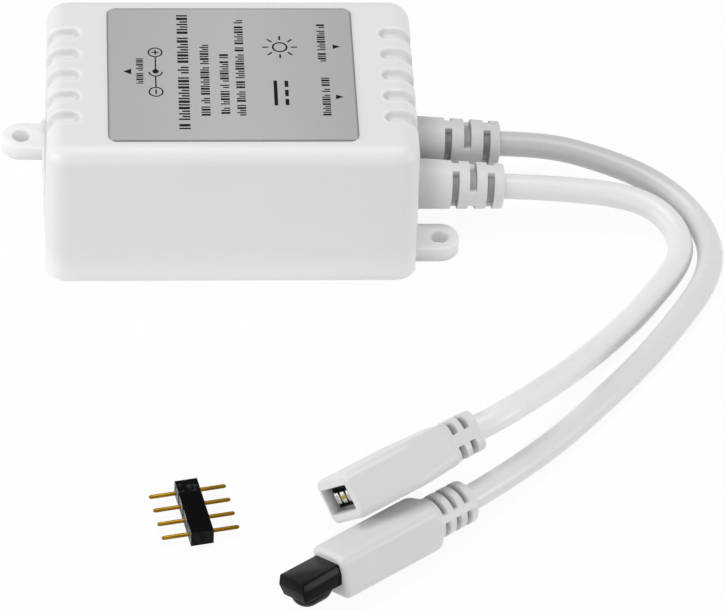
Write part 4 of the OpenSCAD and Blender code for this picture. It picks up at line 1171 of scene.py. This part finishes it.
def build_capacitor():
    """The filter capacitor: a sleeved can with a groove, and a lid with a scored cross."""
    (x0, y0, z0), (x1, y1, z1) = node_box("filter_capacitor")
    cx, cy, r = (x0 + x1) / 2, (y0 + y1) / 2, (x1 - x0) / 2
    Shape().lathe([(0.02, z0), (r - 0.6, z0), (r - 0.5, z0 + 0.4), (r - 0.12, z0 + 0.55),
                   (r, z0 + 0.8), (r, z0 + 1.3), (r - 0.14, z0 + 1.55), (r - 0.14, z0 + 1.7),
                   (r, z0 + 1.95), (r, z1 - 0.5), (r - 0.1, z1 - 0.18), (r - 0.4, z1 - 0.06),
                   (0.02, z1 - 0.06)], 56, at(cx, cy, 0)).piece(
        "filter_capacitor_can", "can_sleeve", "sleeve", "filter_capacitor")
    lid = Shape().lathe([(0.02, z1 - 0.1), (r - 0.55, z1 - 0.1), (r - 0.6, z1 - 0.02),
                         (0.02, z1)], 48, at(cx, cy, 0))
    for l, w in ((2.0, 0.1), (0.1, 2.0)):
        lid = carve(lid, Shape().box((cx - l, cy - w, z1 - 0.05), (cx + l, cy + w, z1 + 1)))
    finish_piece("filter_capacitor_lid", lid, "tinned_metal", "tin")


# Each kind's node, slot and finish, how far its body lies inside its box, the body's corner and
# edge, and the reach, corner and edge of its metal ends
CHIP_PARTS = {
    "resistor_bodies": ("chip_resistors", "chip_black", "chip", (0.3, 0.02, 0), (0.05, 0.04),
                        (0.34, 0.06, 0.05)),
    "capacitor_chips": ("chip_capacitors", "ceramic_tan", "ceramic", (0.36, 0.03, 0.02),
                        (0.06, 0.05), (0.4, 0.09, 0.08))}


def build_chip_parts():
    ends = Shape()
    for name, (node, slot, finish, inside, edges, cap) in CHIP_PARTS.items():
        bodies = Shape()
        for low, high in islands(node):
            bodies.soft_box([p + t for p, t in zip(low, inside)],
                            [p - t for p, t in zip(high, inside)], *edges)
            for x in (low[0], high[0] - cap[0]):
                ends.soft_box((x, *low[1:]), (x + cap[0], *high[1:]), *cap[1:])
        bodies.piece(name, slot, finish, node)
    ends.piece("chip_ends", "solder", "solder")


chip("microcontroller_body", "microcontroller")
chip("memory_body", "memory_chip")
build_transistors()
build_capacitor()
build_chip_parts()

CARRIED = {
    "circuit_board": "board", "jack_housing": "black", "jack_center_pin": "tin",
    "jack_spring_contact": "tin", "jack_shunt_contact": "tin", "capacitor_leads": "tin",
    "voltage_regulator": "chip", "protection_diode": "chip", "microcontroller_leads": "tin",
    "memory_chip_leads": "tin", "mosfet_tabs": "tin", "solder_joints": "solder",
    "strip_wires": "white_wire", "ir_wires": "red_wire", "ir_receiver_leads": "tin"}
for name, finish in CARRIED.items():
    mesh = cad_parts[name].data
    mesh.materials.clear()
    mesh.materials.append(MAT[finish])


# Floor, world and lamps

def looked_at(graph):
    """1 for rays that show the backdrop: straight from the camera, mirrored, or through glass."""
    outs = graph.node("ShaderNodeLightPath").socket.node.outputs
    camera, glossy, through = (Value(graph, outs[name]) for name in (
        "Is Camera Ray", "Is Glossy Ray", "Is Transmission Ray"))
    return camera.math("MAXIMUM", glossy).math("MAXIMUM", through)


def build_stage():
    floor = bpy.data.meshes.new("studio_floor")
    floor.from_pydata([(x, y, 0) for x, y in corners(3.0, 3.0)], [], [(0, 2, 3, 1)])
    placed("studio_floor", floor)
    paper = bpy.data.materials.new("floor_paper")
    graph = cleared(paper)
    lit = graph.node("ShaderNodeBsdfPrincipled",
                     {"Base Color": (0.95, 0.95, 0.95, 1), "Roughness": 0.9})
    glow = graph.node("ShaderNodeEmission", {"Color": (1, 1, 1, 1), "Strength": 1.0})
    shown = graph.node("ShaderNodeMixShader", {0: looked_at(graph) * 0.93, 1: lit, 2: glow})
    graph.node("ShaderNodeOutputMaterial", {"Surface": shown})
    floor.materials.append(paper)


AMBIENT = 0.36


def build_world():
    world = bpy.data.worlds.new("studio")
    bpy.context.scene.world = world
    graph = cleared(world)
    strength = looked_at(graph) * (1.0 - AMBIENT) + AMBIENT
    back = graph.node("ShaderNodeBackground", {"Color": (1, 1, 1, 1), "Strength": strength})
    graph.node("ShaderNodeOutputWorld", {"Surface": back})


def lamp(name, spot, target_z, size, power):
    """A rectangular lamp that shines on a point over the middle of the floor."""
    data = bpy.data.lights.new(name, "AREA")
    data.shape, data.size, data.size_y = "RECTANGLE", *size
    data.energy = power
    made = placed(name, data)
    made.location = spot
    made.rotation_mode = "QUATERNION"
    aim = Vector((0, 0, target_z)) - Vector(spot)
    made.rotation_quaternion = aim.to_track_quat("-Z", "Y")


build_stage()
build_world()
lamp("overhead_box", (-0.03, 0.06, 0.65), 0.0, (0.4, 0.4), 1.95)
lamp("key_box", (-0.62, -0.36, 0.34), 0.0, (0.35, 0.35), 1.0)
lamp("left_card", (-0.8, -0.12, 0.13), 0.01, (0.4, 0.25), 1.6)
lamp("front_card", (-0.1, -0.8, 0.14), 0.01, (0.4, 0.25), 0.35)
lamp("right_card", (0.8, -0.3, 0.15), 0.01, (0.4, 0.25), 1.6)
bpy.context.scene.view_settings.view_transform = "Standard"
